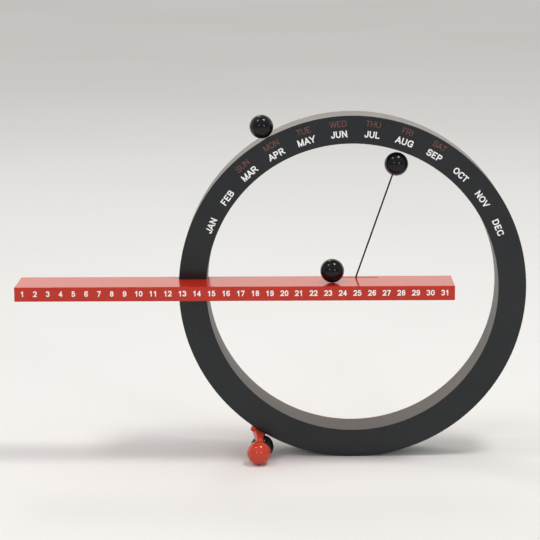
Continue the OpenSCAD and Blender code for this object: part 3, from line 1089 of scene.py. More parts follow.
@dataclass
class Plan:
    """Places of the main parts, all measured on the CAD model."""

    radius: float = field(init=False)
    bore: float = field(init=False)
    centre_z: float = field(init=False)
    front: float = field(init=False)
    back: float = field(init=False)
    bar_low: Array = field(init=False)
    bar_high: Array = field(init=False)

    def __post_init__(self) -> None:
        """Reads the ring's circle and faces, and the bar's box."""
        low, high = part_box("ring_front_shell")
        self.radius = (high.x - low.x) / 2
        self.centre_z = high.z - self.radius
        self.front, self.back = low.y, high.y
        points = node_points("ring_front_shell")
        self.bore = float(np.hypot(points[:, 0], points[:, 2] - self.centre_z).min())
        self.bar_low, self.bar_high = node_box("bar_body")

    @property
    def axis(self) -> Axis:
        """The ring's axis, pointing back."""
        return depthwise(0, self.centre_z)

    def wire_way(self) -> Array:
        """The unit direction of the pointer's wire, from the pivot outwards."""
        centre = node_points("pointer_wire").mean(axis=0)
        return unit((centre[0], 0, centre[2] - self.centre_z))

    def wire_travel(self) -> tuple[float, float]:
        """The wire's travel, from its place at rest and its hinge's range.

        Returns:
            Its two furthest angles from straight up, clockwise, in radians.
        """
        x, _, z = self.wire_way()
        at_rest = math.atan2(x, z)
        low, high = next(j["range_deg"] for j in frame["joints"] if j["name"] == "month_travel")
        return at_rest + math.radians(low), at_rest + math.radians(high)


@dataclass
class RingCase:
    """The ring: a channel moulding that is open at the back, its cover and their screws."""

    plan: Plan
    wall: float = 1.8 * MM
    face: float = 1.4 * MM
    cover: float = 2.0 * MM
    fillet: float = 0.4 * MM
    inner_fillet: float = 0.3 * MM
    cover_edge: float = 0.1 * MM
    cover_fillet: float = 0.3 * MM
    cover_steps: int = 4
    tower_inset: float = 1.5 * MM
    tower_edge: float = 0.2 * MM
    seat_gap: float = 0.1 * MM
    pocket_gap: float = 0.05 * MM
    boss: float = 5.0 * MM
    post: float = 3.6 * MM
    screw: Screw = Screw(Head.COUNTERSUNK, 10 * MM, 3.8 * MM, 0.9 * MM)
    long_screw: Screw = Screw(Head.COUNTERSUNK, 20 * MM, 3.8 * MM, 0.9 * MM)
    steps: int = 360

    def _shell_section(self) -> Array:
        """The channel's outline.

        Returns:
            (radius, y) pairs, with every corner rounded.
        """
        p = self.plan
        outer, inner = p.radius - self.wall, p.bore + self.wall
        floor = p.front + self.face
        corners = [
            (p.bore, p.front), (p.radius, p.front), (p.radius, p.back), (outer, p.back),
            (outer, floor), (inner, floor), (inner, p.back), (p.bore, p.back),
        ]
        small = self.inner_fillet
        return rounded_outline(corners, [self.fillet] * 3 + [small] * 4 + [self.fillet])

    def _bosses(self, node: str, width: float, end: float) -> list[Solid]:
        """Bosses behind the front face, one for each screw of a node.

        Args:
            node: The screws' CAD node.
            width: Width of a boss.
            end: The y at which the bosses end.

        Returns:
            The bosses, which start inside the front face.
        """
        start = self.plan.front + self.face / 2
        return [rod(depthwise(x, z), width / 2, start, end, BOSS_STEPS) for x, _, z in middles(node)]

    def _tower(self) -> Solid:
        """The solid stretch of the left limb that backs the bar.

        Returns:
            A block that reaches into both walls and into the front face.
        """
        p = self.plan
        low = (-p.radius + self.tower_inset, p.front + self.face / 2, p.bar_low[2] - self.wall)
        high = (-p.bore - self.tower_inset, p.back - self.cover, p.bar_high[2] + self.wall)
        return rounded_block(low, high, self.tower_edge, FINE_STEPS)

    def build_shell(self) -> None:
        """The front shell, with its bosses, the bar's pocket and the flat land that it stands on."""
        p = self.plan
        seat, ballast_end = p.back - self.cover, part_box("ring_ballast")[1].y
        channel = turned(self._shell_section(), p.axis, self.steps, ring=True)
        piece = channel.to_object("ring_front_shell_moulding")
        bosses = self._bosses("ring_cover_screws", self.boss, seat)
        posts = self._bosses("ballast_screws", self.post, ballast_end)
        carve(piece, [self._tower(), *bosses, *posts], Joining.ADD)
        far, gap = p.radius * 2, self.pocket_gap
        room = (0, p.bar_high[1] + gap, p.bar_high[2] + gap)
        pocket = rounded_block((-far, -far, p.bar_low[2] - gap), room, CUT_EDGE, FINE_STEPS)
        below = rounded_block((-far, -far, -far), (far, far, 0), CUT_EDGE, FINE_STEPS)
        screw = self.screw
        pilots = [
            rod(depthwise(x, z), screw.pilot, seat - screw.length, seat + PAST, HOLE_STEPS)
            for x, _, z in middles("ring_cover_screws")
        ]
        passages = [
            rod(depthwise(x, z), screw.passage, p.front - PAST, p.back + PAST, HOLE_STEPS)
            for x, _, z in middles("bar_fixing_screws")
        ]
        carve(piece, [pocket, below, *pilots, *passages], Joining.CUT)
        dress(piece, CHARCOAL, STAND, ["ring_front_shell"], flats=True)

    def _screw_seats(self, node: str) -> list[Axis]:
        """The seats of the countersunk screws of a node, flush with the ring's back."""
        return [Axis((x, self.plan.back, z), (0, 1, 0)) for x, _, z in middles(node)]

    def build_cover(self) -> None:
        """The flat rear cover, with a countersunk hole for each screw."""
        p = self.plan
        inner, outer = p.bore + self.wall + self.seat_gap, p.radius - self.wall - self.seat_gap
        low, high = p.back - self.cover, p.back
        corners = [(inner, low), (outer, low), (outer, high), (inner, high)]
        radii = [self.cover_edge] * 2 + [self.cover_fillet] * 2
        section = rounded_outline(corners, radii, self.cover_steps)
        piece = turned(section, p.axis, self.steps, ring=True).to_object("ring_rear_cover_plate")
        seats = self._screw_seats("ring_cover_screws") + self._screw_seats("bar_fixing_screws")
        carve(piece, [self.screw.sink(seat, 2 * self.cover) for seat in seats], Joining.CUT)
        dress(piece, COVER_CHARCOAL, STAND, ["ring_rear_cover"], flats=True)

    def build(self) -> None:
        """Builds the ring's pieces."""
        self.build_shell()
        self.build_cover()
        for name, screw, node in (
            ("ring_cover_screws_set", self.screw, "ring_cover_screws"),
            ("bar_fixing_screws_pair", self.long_screw, "bar_fixing_screws"),
        ):
            build_screws(name, screw, self._screw_seats(node), node)
        for node, finish in (
            ("weekday_steel_strip", STRIP_STEEL), ("month_steel_strip", STRIP_STEEL),
            ("ring_ballast", BALLAST_IRON), ("ballast_screws", SCREW_STEEL),
        ):
            keep_node(node, finish)


# ---- the bar ----------------------------------------------------------------------------------


@dataclass
class DateBar:
    """The red bar: a channel moulding closed from below by a plate."""

    plan: Plan
    wall: float = 1.5 * MM
    edge: float = 0.4 * MM
    edge_steps: int = 6
    inner_edge: float = 0.25 * MM
    inner_steps: int = 3
    plate: float = 1.2 * MM
    plate_edge: float = 0.15 * MM
    plate_gap: float = 0.1 * MM
    hub_gap: float = 0.25 * MM
    rib_side: float = 0.6 * MM
    rib_lift: float = 0.2 * MM
    slot_gap: float = 0.14 * MM
    slot_edge: float = 0.2 * MM
    slot_steps: int = 4
    boss: float = 4.6 * MM
    end_gap: float = 0.2 * MM
    fixing_end_gap: float = 0.5 * MM
    screw: Screw = Screw(Head.COUNTERSUNK, 3.6 * MM, 3.8 * MM, 0.9 * MM, recess_length=1.9 * MM)

    def _pivot_box(self) -> tuple[Array, Array]:
        """The room that the pivot's ribs take, from the bar's plate up into its roof.

        Returns:
            Its lowest and its highest corner.
        """
        pin_low, pin_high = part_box("pointer_pivot_pin")
        hub_low, hub_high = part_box("pointer_hub")
        p, side = self.plan, self.rib_side
        low = np.array((hub_low.x - side, pin_low.y, p.bar_low[2] + self.rib_lift))
        high = np.array((hub_high.x + side, pin_high.y, p.bar_high[2] - self.wall / 2))
        return low, high

    def _ribs(self) -> list[Solid]:
        """The ribs that hold the pivot pin.

        Returns:
            One in front of the hub and one behind it.
        """
        low, high = self._pivot_box()
        hub_low, hub_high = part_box("pointer_hub")
        front_end, rear_start = hub_low.y - self.hub_gap, hub_high.y + self.hub_gap
        rear_end = self.plan.bar_high[1] - self.wall / 2
        spans = ((low[1], front_end), (rear_start, rear_end))
        return [
            rounded_block((low[0], start, low[2]), (high[0], end, high[2]), RIB_EDGE, FINE_STEPS)
            for start, end in spans
        ]

    def _wire_slot(self) -> Solid:
        """The slot in the bar's top that the pointer's wire swings in.

        Its half length is the bar's rise over the pivot times the tangent of the wire's largest
        angle, plus half the wire's thickness over that angle's cosine, plus twice the gap.

        Returns:
            The tool that cuts it, from inside the bar to above its top.
        """
        p = self.plan
        wire_low, wire_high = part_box("pointer_wire")
        limit = max(abs(angle) for angle in p.wire_travel())
        rise, thick = p.bar_high[2] - p.centre_z, wire_high.y - wire_low.y
        half = rise * math.tan(limit) + thick / 2 / math.cos(limit) + 2 * self.slot_gap
        low = (-half, wire_low.y - self.slot_gap, p.bar_high[2] - self.wall - PAST)
        high = (half, wire_high.y + self.slot_gap, p.bar_high[2] + PAST)
        return rounded_block(low, high, self.slot_edge, self.slot_steps)

    def build_body(self) -> None:
        """The bar's body, hollow from below, with its bosses, ribs and the wire's slot."""
        p, screw = self.plan, self.screw
        low, high = p.bar_low, p.bar_high
        piece = rounded_block(low, high, self.edge, self.edge_steps).to_object("date_bar_moulding")
        roof, plate_top = high[2] - self.wall, low[2] + self.plate
        inside = rounded_block(
            (low[0] + self.wall, low[1] + self.wall, low[2] - 2 * PAST),
            (high[0] - self.wall, high[1] - self.wall, roof), self.inner_edge, self.inner_steps)
        carve(piece, [inside], Joining.CUT)
        into_roof = roof + self.wall / 2
        screw_places = [(x, y) for x, y, _ in middles("bar_cover_screws")]
        pads = [rod(upright(*xy), self.boss / 2, plate_top, into_roof, BOSS_STEPS) for xy in screw_places]
        fixing_low, fixing_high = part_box("bar_fixing_screws")
        block = rounded_block(
            (-p.radius, fixing_low.y - self.wall, plate_top),
            (-p.bore, high[1] - self.wall / 2, into_roof), RIB_EDGE, FINE_STEPS)
        carve(piece, [block, *self._ribs(), *pads], Joining.ADD)
        pilot_end = low[2] + screw.length + self.end_gap
        holes = [rod(upright(*xy), screw.pilot, low[2], pilot_end, HOLE_STEPS) for xy in screw_places]
        fixing_end = fixing_low.y - self.fixing_end_gap
        holes += [
            rod(depthwise(x, z), screw.pilot, fixing_end, fixing_high.y, HOLE_STEPS)
            for x, _, z in middles("bar_fixing_screws")
        ]
        pin_low, pin_high = node_box("pointer_pivot_pin")
        x, _, z = (pin_low + pin_high) / 2
        pin_radius = (pin_high[0] - pin_low[0]) / 2
        holes.append(rod(depthwise(x, z), pin_radius, pin_low[1], pin_high[1] + PAST, HOLE_STEPS))
        carve(piece, [self._wire_slot(), *holes], Joining.CUT)
        dress(piece, BAR_RED, STAND, ["bar_body"], flats=True)

    def build_plate(self) -> None:
        """The plate that closes the bar from below, with countersunk holes and the pivot's window."""
        low, high = node_box("bar_underside_cover")
        plate = rounded_block(low, high, self.plate_edge, self.inner_steps)
        piece = plate.to_object("bar_underside_plate")
        window_low, window_high = self._pivot_box()
        gap = self.plate_gap
        window = rounded_block(
            (window_low[0] - gap, window_low[1] - gap, low[2] - PAST),
            (window_high[0] + gap, high[1] + PAST, high[2] + PAST), RIB_EDGE, FINE_STEPS)
        sinks = [self.screw.sink(seat, 2 * self.plate) for seat in self._screw_seats()]
        carve(piece, [window, *sinks], Joining.CUT)
        dress(piece, BAR_RED, STAND, ["bar_underside_cover"], flats=True)

    def _screw_seats(self) -> list[Axis]:
        """The seats of the plate's screws, flush with the bar's underside."""
        z = self.plan.bar_low[2]
        return [Axis((x, y, z), (0, 0, -1)) for x, y, _ in middles("bar_cover_screws")]

    def build(self) -> None:
        """Builds the bar's pieces."""
        self.build_body()
        self.build_plate()
        build_screws("bar_cover_screws_set", self.screw, self._screw_seats(), "bar_cover_screws")
        keep_node("date_steel_strip", STRIP_STEEL)
        keep_node("pointer_pivot_pin", PIN_STEEL)


# ---- lettering --------------------------------------------------------------------------------


HALF_EDGE = 0.499  # a bend takes up at most this share of the edges beside it
BEND_STEPS = 6     # spans in a bend
ROUND = 0.42       # bend of a round letter
TIGHT = 0.25       # bend of a bowl


@dataclass(frozen=True)
class Stroke:
    """A pen stroke through points given as shares of a letter's box.

    A bend rounds the stroke's inner corners, by its radius in capital heights. A loop is closed.
    """

    points: tuple[tuple[float, float], ...]
    bend: float = 0.0
    loop: bool = False

    def path(self, box: Array, inset: float) -> Array:
        """The middle of the stroke, from rounded corners.

        Args:
            box: Width and height that the shares are of.
            inset: How far the box lies in from the letter's edges.

        Returns:
            The path's points, with no point twice in a row.
        """
        corners = np.array(self.points, float) * box + inset
        if not self.bend:
            return corners
        before = np.linalg.norm(corners - np.roll(corners, 1, axis=0), axis=1)
        after = np.linalg.norm(corners - np.roll(corners, -1, axis=0), axis=1)
        radii = np.minimum(self.bend, np.minimum(before, after) * HALF_EDGE)
        if not self.loop:
            radii[[0, -1]] = 0
        rounded = rounded_outline(corners, radii, BEND_STEPS)
        step = np.linalg.norm(rounded - np.roll(rounded, 1, axis=0), axis=1)
        step[0] = step[0] if self.loop else 1
        return rounded[step > SMALL]


def line(*points: tuple[float, float]) -> Stroke:
    """A straight stroke."""
    return Stroke(points)


def curve(bend: float, *points: tuple[float, float]) -> Stroke:
    """An open stroke with round corners."""
    return Stroke(points, bend)


def loop(bend: float, *points: tuple[float, float]) -> Stroke:
    """A closed stroke with round corners."""
    return Stroke(points, bend, True)


STEM = line((0, 0), (0, 1))


@dataclass(frozen=True)
class Letter:
    """A letter or figure: its width and side room in capital heights, and its strokes."""

    width: float
    room: float
    strokes: tuple[Stroke, ...]


LETTERS: dict[str, Letter] = {
    "A": Letter(0.88, 0.00, (line((0, 0), (0.5, 1)), line((0.5, 1), (1, 0)), line((0.2, 0.3), (0.8, 0.3)))),
    "B": Letter(0.74, 0.08, (STEM, curve(TIGHT, (0, 1), (0.93, 1), (0.93, 0.53), (0, 0.53)),
                             curve(TIGHT, (0, 0.53), (1, 0.53), (1, 0), (0, 0)))),
    "C": Letter(0.80, 0.05, (curve(ROUND, (1, 0.66), (1, 1), (0, 1), (0, 0), (1, 0), (1, 0.34)),)),
    "D": Letter(0.78, 0.07, (STEM, curve(ROUND, (0, 1), (1, 1), (1, 0), (0, 0)))),
    "E": Letter(0.68, 0.08, (STEM, line((0, 1), (1, 1)), line((0, 0.52), (0.92, 0.52)),
                             line((0, 0), (1, 0)))),
    "F": Letter(0.64, 0.06, (STEM, line((0, 1), (1, 1)), line((0, 0.5), (0.85, 0.5)))),
    "G": Letter(0.84, 0.06, (curve(ROUND, (1, 0.68), (1, 1), (0, 1), (0, 0), (1, 0), (1, 0.44)),
                             line((0.55, 0.44), (1, 0.44)))),
    "H": Letter(0.76, 0.09, (STEM, line((0, 0.52), (1, 0.52)), line((1, 0), (1, 1)))),
    "I": Letter(0.20, 0.09, (line((0.5, 0), (0.5, 1)),)),
    "J": Letter(0.58, 0.05, (curve(TIGHT, (1, 1), (1, 0), (0, 0), (0, 0.3)),)),
    "L": Letter(0.62, 0.06, (STEM, line((0, 0), (1, 0)))),
    "M": Letter(0.90, 0.08, (STEM, line((0, 1), (0.5, 0)), line((0.5, 0), (1, 1)), line((1, 0), (1, 1)))),
    "N": Letter(0.77, 0.08, (STEM, line((0, 1), (1, 0)), line((1, 0), (1, 1)))),
    "O": Letter(0.88, 0.05, (loop(ROUND, (0, 0), (1, 0), (1, 1), (0, 1)),)),
    "P": Letter(0.73, 0.07, (STEM, curve(TIGHT, (0, 1), (1, 1), (1, 0.46), (0, 0.46)))),
    "R": Letter(0.79, 0.07, (STEM, curve(TIGHT, (0, 1), (0.95, 1), (0.95, 0.48), (0, 0.48)),
                             line((0.5, 0.46), (1, 0)))),
    "S": Letter(0.74, 0.05, (curve(TIGHT, (0.98, 0.74), (0.98, 1), (0, 1), (0, 0.54), (1, 0.5), (1, 0),
                                   (0, 0), (0, 0.27)),)),
    "T": Letter(0.76, 0.02, (line((0, 1), (1, 1)), line((0.5, 0), (0.5, 1)))),
    "U": Letter(0.77, 0.08, (curve(0.36, (0, 1), (0, 0), (1, 0), (1, 1)),)),
    "V": Letter(0.86, 0.00, (line((0, 1), (0.5, 0)), line((0.5, 0), (1, 1)))),
    "W": Letter(1.20, 0.00, (line((0, 1), (0.25, 0)), line((0.25, 0), (0.5, 1)), line((0.5, 1), (0.75, 0)),
                             line((0.75, 0), (1, 1)))),
    "Y": Letter(0.86, 0.00, (line((0, 1), (0.5, 0.42)), line((0.5, 0.42), (1, 1)),
                             line((0.5, 0), (0.5, 0.48)))),
    "0": Letter(0.66, 0.06, (loop(0.33, (0, 0), (1, 0), (1, 1), (0, 1)),)),
    "1": Letter(0.66, 0.06, (line((0.6, 0), (0.6, 1)), line((0.02, 0.7), (0.58, 0.98)))),
    "2": Letter(0.66, 0.06, (curve(0.24, (0, 0.7), (0, 1), (1, 1), (1, 0.58), (0, 0)),
                             line((0, 0), (1, 0)))),
    "3": Letter(0.66, 0.06, (curve(0.23, (0, 0.76), (0, 1), (0.94, 1), (0.94, 0.53), (0.4, 0.53)),
                             curve(0.23, (0.4, 0.53), (1, 0.53), (1, 0), (0, 0), (0, 0.26)))),
    "4": Letter(0.68, 0.05, (line((0.74, 0), (0.74, 1)), line((0.72, 0.98), (0, 0.26)),
                             line((0, 0.26), (1, 0.26)))),
    "5": Letter(0.66, 0.06, (line((0.14, 1), (0.94, 1)), line((0.14, 1), (0.03, 0.48)),
                             curve(0.24, (0.03, 0.5), (0.3, 0.62), (1, 0.62), (1, 0), (0, 0), (0, 0.26)))),
    "6": Letter(0.66, 0.06, (loop(0.24, (0, 0), (1, 0), (1, 0.6), (0, 0.6)),
                             curve(0.3, (0, 0.32), (0, 1), (1, 1), (1, 0.8)))),
    "7": Letter(0.66, 0.06, (line((0, 1), (1, 1)), line((0.98, 1), (0.34, 0)))),
    "8": Letter(0.66, 0.06, (loop(0.22, (0.06, 0.53), (0.94, 0.53), (0.94, 1), (0.06, 1)),
                             loop(0.25, (0, 0), (1, 0), (1, 0.53), (0, 0.53)))),
    "9": Letter(0.66, 0.06, (loop(0.24, (0, 0.4), (1, 0.4), (1, 1), (0, 1)),
                             curve(0.3, (1, 0.68), (1, 0), (0, 0), (0, 0.2)))),
}


@dataclass(frozen=True)
class Setting:
    """Where a word stands: its middle on the printed face, its reading direction and its up."""

    word: str
    middle: Array
    right: Array
    up: Array


@dataclass(frozen=True)
class Lettering:
    """Draws words with a pen of even width, as thin solid ink on a face.

    The pen's width is in capital heights.
    """

    height: float
    pen: float
    stretch: float = 1.0
    ink: float = 0.03 * MM
    sink: float = 0.03 * MM

    def _ribbon(self, letter: Letter, stroke: Stroke) -> Solid:
        """A stroke as a flat bar of pen width, at a capital height of one.

        At each point of the path the two edges lie half a pen to either side along the mitre, the
        sum of the two neighbouring normals over one plus their product. A stroke that runs to the
        edge of its letter's box is carried on to the edge and cut off level with it.

        Args:
            letter: The letter.
            stroke: One of its strokes.

        Returns:
            The bar, from a height of -1 to a height of 1.
        """
        inset = self.pen / 2
        path = stroke.path(np.array((letter.width, 1.0)) - self.pen, inset)
        before = unit(path - np.roll(path, 1, axis=0))
        after = unit(np.roll(path, -1, axis=0) - path)
        if not stroke.loop:
            before[0], after[-1] = after[0], before[-1]
        normals = [np.stack([-way[:, 1], way[:, 0]], -1) for way in (before, after)]
        mitre = (normals[0] + normals[1]) / (1 + (normals[0] * normals[1]).sum(axis=1))[:, None]
        if not stroke.loop:
            for end, way, share in ((0, -after[0], stroke.points[0]), (-1, before[-1], stroke.points[-1])):
                along = 0 if abs(way[1]) < SMALL else 1
                if share[along] == (1 if way[along] > 0 else 0):
                    path[end] += way * inset / abs(way[along])
                    mitre[end, 1 - along] = 1 / mitre[end, 1 - along]
                    mitre[end, along] = 0
        left, right = path + mitre * inset, path - mitre * inset
        rails = [np.column_stack([side, np.full(len(side), level)])
                 for side, level in ((left, -1), (right, -1), (right, 1), (left, 1))]
        bar = Solid.from_grid(np.stack(rails, axis=1), close_rows=stroke.loop, close_columns=True)
        last = 4 * (len(path) - 1)
        caps = [] if stroke.loop else [[3, 2, 1, 0], [last, last + 1, last + 2, last + 3]]
        return bar.with_faces(caps)

    def _place(self, setting: Setting, out: Array, ranks: Sequence[list[Solid]]) -> None:
        """Draws a word in its place.

        Args:
            setting: The word and where it stands.
            out: The direction out of the face.
            ranks: Lists that take the first strokes of all letters, the second strokes, and so on.
        """
        letters = [LETTERS[character] for character in setting.word]
        pace = [(a.width + a.room + b.room) * self.stretch for a, b in zip(letters, letters[1:])]
        starts = np.cumsum([0.0, *pace])
        shift = -(starts[-1] + letters[-1].width * self.stretch) / 2
        for letter, start in zip(letters, starts):
            for rank, stroke in zip(ranks, letter.strokes):
                bar = self._ribbon(letter, stroke)
                flat = (bar.points[:, :2] * (self.stretch, 1) + (start + shift, -0.5)) * self.height
                rise = np.where(bar.points[:, 2] > 0, self.ink, -self.sink)
                moved = setting.middle + flat[:, :1] * setting.right + flat[:, 1:] * setting.up
                rank.append(Solid(moved + rise[:, None] * out, bar.faces))

    def print_row(self, name: str, settings: Sequence[Setting], out: Array, finish: Finish) -> None:
        """Prints words as one piece.

        Strokes of one rank never touch each other, so each rank is one solid, and the ranks are
        added together.

        Args:
            name: The piece's name.
            settings: The words.
            out: The direction out of the face.
            finish: The ink.
        """
        ranks: list[list[Solid]] = [[] for _ in range(max(len(a.strokes) for a in LETTERS.values()))]
        for setting in settings:
            self._place(setting, out, ranks)
        first, *others = [Solid.joined(bars) for bars in ranks if bars]
        piece = first.to_object(name)
        carve(piece, others, Joining.ADD)
        dress(piece, finish, STAND)


@dataclass
class Dial:
    """The printed months and weekdays on the ring, and the dates on the bar."""

    plan: Plan
    shift: Point = (0.65 * MM, 0.0, -0.05 * MM)
    month_radius: float = 67.3 * MM
    weekday_radius: float = 71.75 * MM
    date_rise: float = 0.25 * MM
    single_from: float = 3.5 * MM
    single_pitch: float = 5.437 * MM
    double_from: float = 52.95 * MM
    double_pitch: float = 6.19 * MM
    month_style: Lettering = Lettering(2.9 * MM, 0.185, 0.98)
    weekday_style: Lettering = Lettering(2.6 * MM, 0.115, 0.95)
    date_style: Lettering = Lettering(2.4 * MM, 0.19, 0.96)
    months: tuple[str, ...] = tuple("JAN FEB MAR APR MAY JUN JUL AUG SEP OCT NOV DEC".split())
    weekdays: tuple[str, ...] = tuple("SUN MON TUE WED THU FRI SAT".split())
    first_weekday: int = 2
    last_date: int = 31
    last_single: int = 9

    def _arc_of_words(self, words: Sequence[str], first: int, radius: float) -> list[Setting]:
        """Words round the ring's face, each upright on its own radius.

        The pointer's travel runs from the first month to the last, and the words share it evenly.

        Args:
            words: The words, clockwise.
            first: Place of the first word among the months.
            radius: Radius of the words' middles.

        Returns:
            The words' settings.
        """
        start, end = self.plan.wire_travel()
        settings = []
        for number, word in enumerate(words, first):
            angle = start + (end - start) * number / (len(self.months) - 1)
            up = np.array((math.sin(angle), 0, math.cos(angle)))
            right = np.array((math.cos(angle), 0, -math.sin(angle)))
            place = up * radius + (0, self.plan.front, self.plan.centre_z) + self.shift
            settings.append(Setting(word, place, right, up))
        return settings

    def _dates(self) -> list[Setting]:
        """The dates along the bar: one pitch for the single figures and another for the double.

        Returns:
            The dates' settings.
        """
        p = self.plan
        height = (p.bar_low[2] + p.bar_high[2]) / 2 + self.date_rise
        settings = []
        for date in range(1, self.last_date + 1):
            if date <= self.last_single:
                along = self.single_from + self.single_pitch * (date - 1)
            else:
                along = self.double_from + self.double_pitch * (date - self.last_single - 1)
            place = np.array((p.bar_low[0] + along, p.bar_low[1], height))
            settings.append(Setting(str(date), place, np.array((1, 0, 0)), np.array((0, 0, 1))))
        return settings

    def build(self) -> None:
        """Prints the three rows of lettering."""
        out = np.array((0, -1, 0))
        months = self._arc_of_words(self.months, 0, self.month_radius)
        weekdays = self._arc_of_words(self.weekdays, self.first_weekday, self.weekday_radius)
        self.month_style.print_row("month_labels", months, out, WHITE_INK)
        self.weekday_style.print_row("weekday_labels", weekdays, out, RUST_INK)
        self.date_style.print_row("date_numbers", self._dates(), out, WHITE_INK)


# ---- marker balls -----------------------------------------------------------------------------


@dataclass
class MarkerBall:
    """A ball in two halves that meet in a hairline seam, with a disc magnet between them."""

    name: str
    body: str
    lip: float = 0.05 * MM
    lip_points: int = 5
    cap_points: int = 40
    fit: float = 0.05 * MM
    magnet_radius: float = 3.0 * MM
    magnet_half: float = 1.5 * MM
    magnet_steps: int = 64
    steps: int = 96

    def _half_outline(self, radius: float) -> Array:
        """The outline of a half ball.

        The flat runs out from the centre, a small lip rounds the seam, and the points then follow
        the ball, at the cosine and the sine of the latitude, to the pole.

        Args:
            radius: The ball's radius.

        Returns:
            (radius, height) pairs.
        """
        start = math.asin(self.lip / radius)
        lip_turn = np.linspace(-math.pi / 2, 0, self.lip_points)
        centre = radius * math.cos(start) - self.lip
        lip = np.stack([centre + self.lip * np.cos(lip_turn), self.lip + self.lip * np.sin(lip_turn)], -1)
        latitude = np.linspace(start, math.pi / 2, self.cap_points)[1:]
        cap = np.stack([radius * np.cos(latitude), radius * np.sin(latitude)], -1)
        return np.vstack([[(0, 0)], lip, cap])

    def build(self) -> None:
        """Builds the two halves and keeps the magnet's own solid."""
        low, _ = node_box(f"{self.name}_ball_front")
        _, high = node_box(f"{self.name}_ball_rear")
        centre, radius = (low + high) / 2, (high[0] - low[0]) / 2
        magnet = node_points(f"{self.name}_magnet").mean(axis=0)
        pocket_axis = Axis(tuple(magnet), tuple(magnet - centre))
        reach = self.magnet_half + self.fit
        pocket = rod(pocket_axis, self.magnet_radius + self.fit, -reach, reach, self.magnet_steps)
        for half, way in (("front", -1), ("rear", 1)):
            node = f"{self.name}_ball_{half}"
            shape = turned(self._half_outline(radius), Axis(tuple(centre), (0, way, 0)), self.steps)
            piece = shape.to_object(f"{node}_half")
            carve(piece, [pocket], Joining.CUT)
            dress(piece, BALL_BLACK, self.body, [node])
        keep_node(f"{self.name}_magnet", MAGNET_NICKEL)


@dataclass
class Pointer:
    """The wire that carries the month ball, and its hub inside the bar."""

    plan: Plan
    body: str = "month_pointer"
    radius: float = 0.35 * MM
    tip: float = 0.12 * MM
    steps: int = 32

    def build(self) -> None:
        """Builds the wire between the ends of its CAD solid, and keeps the hub's own solid."""
        points = node_points("pointer_wire")
        foot = np.array((0, points[:, 1].mean(), self.plan.centre_z))
        way = self.plan.wire_way()
        height = (points - foot) @ way
        axis = Axis(tuple(foot), tuple(way))
        wire = rod(axis, self.radius, float(height.min()), float(height.max()), self.steps, self.tip)
        dress(wire.to_object("pointer_wire_rod"), WIRE_BLACK, self.body, ["pointer_wire"])
        keep_node("pointer_hub", HUB_BRASS)


# ---- the foot ---------------------------------------------------------------------------------


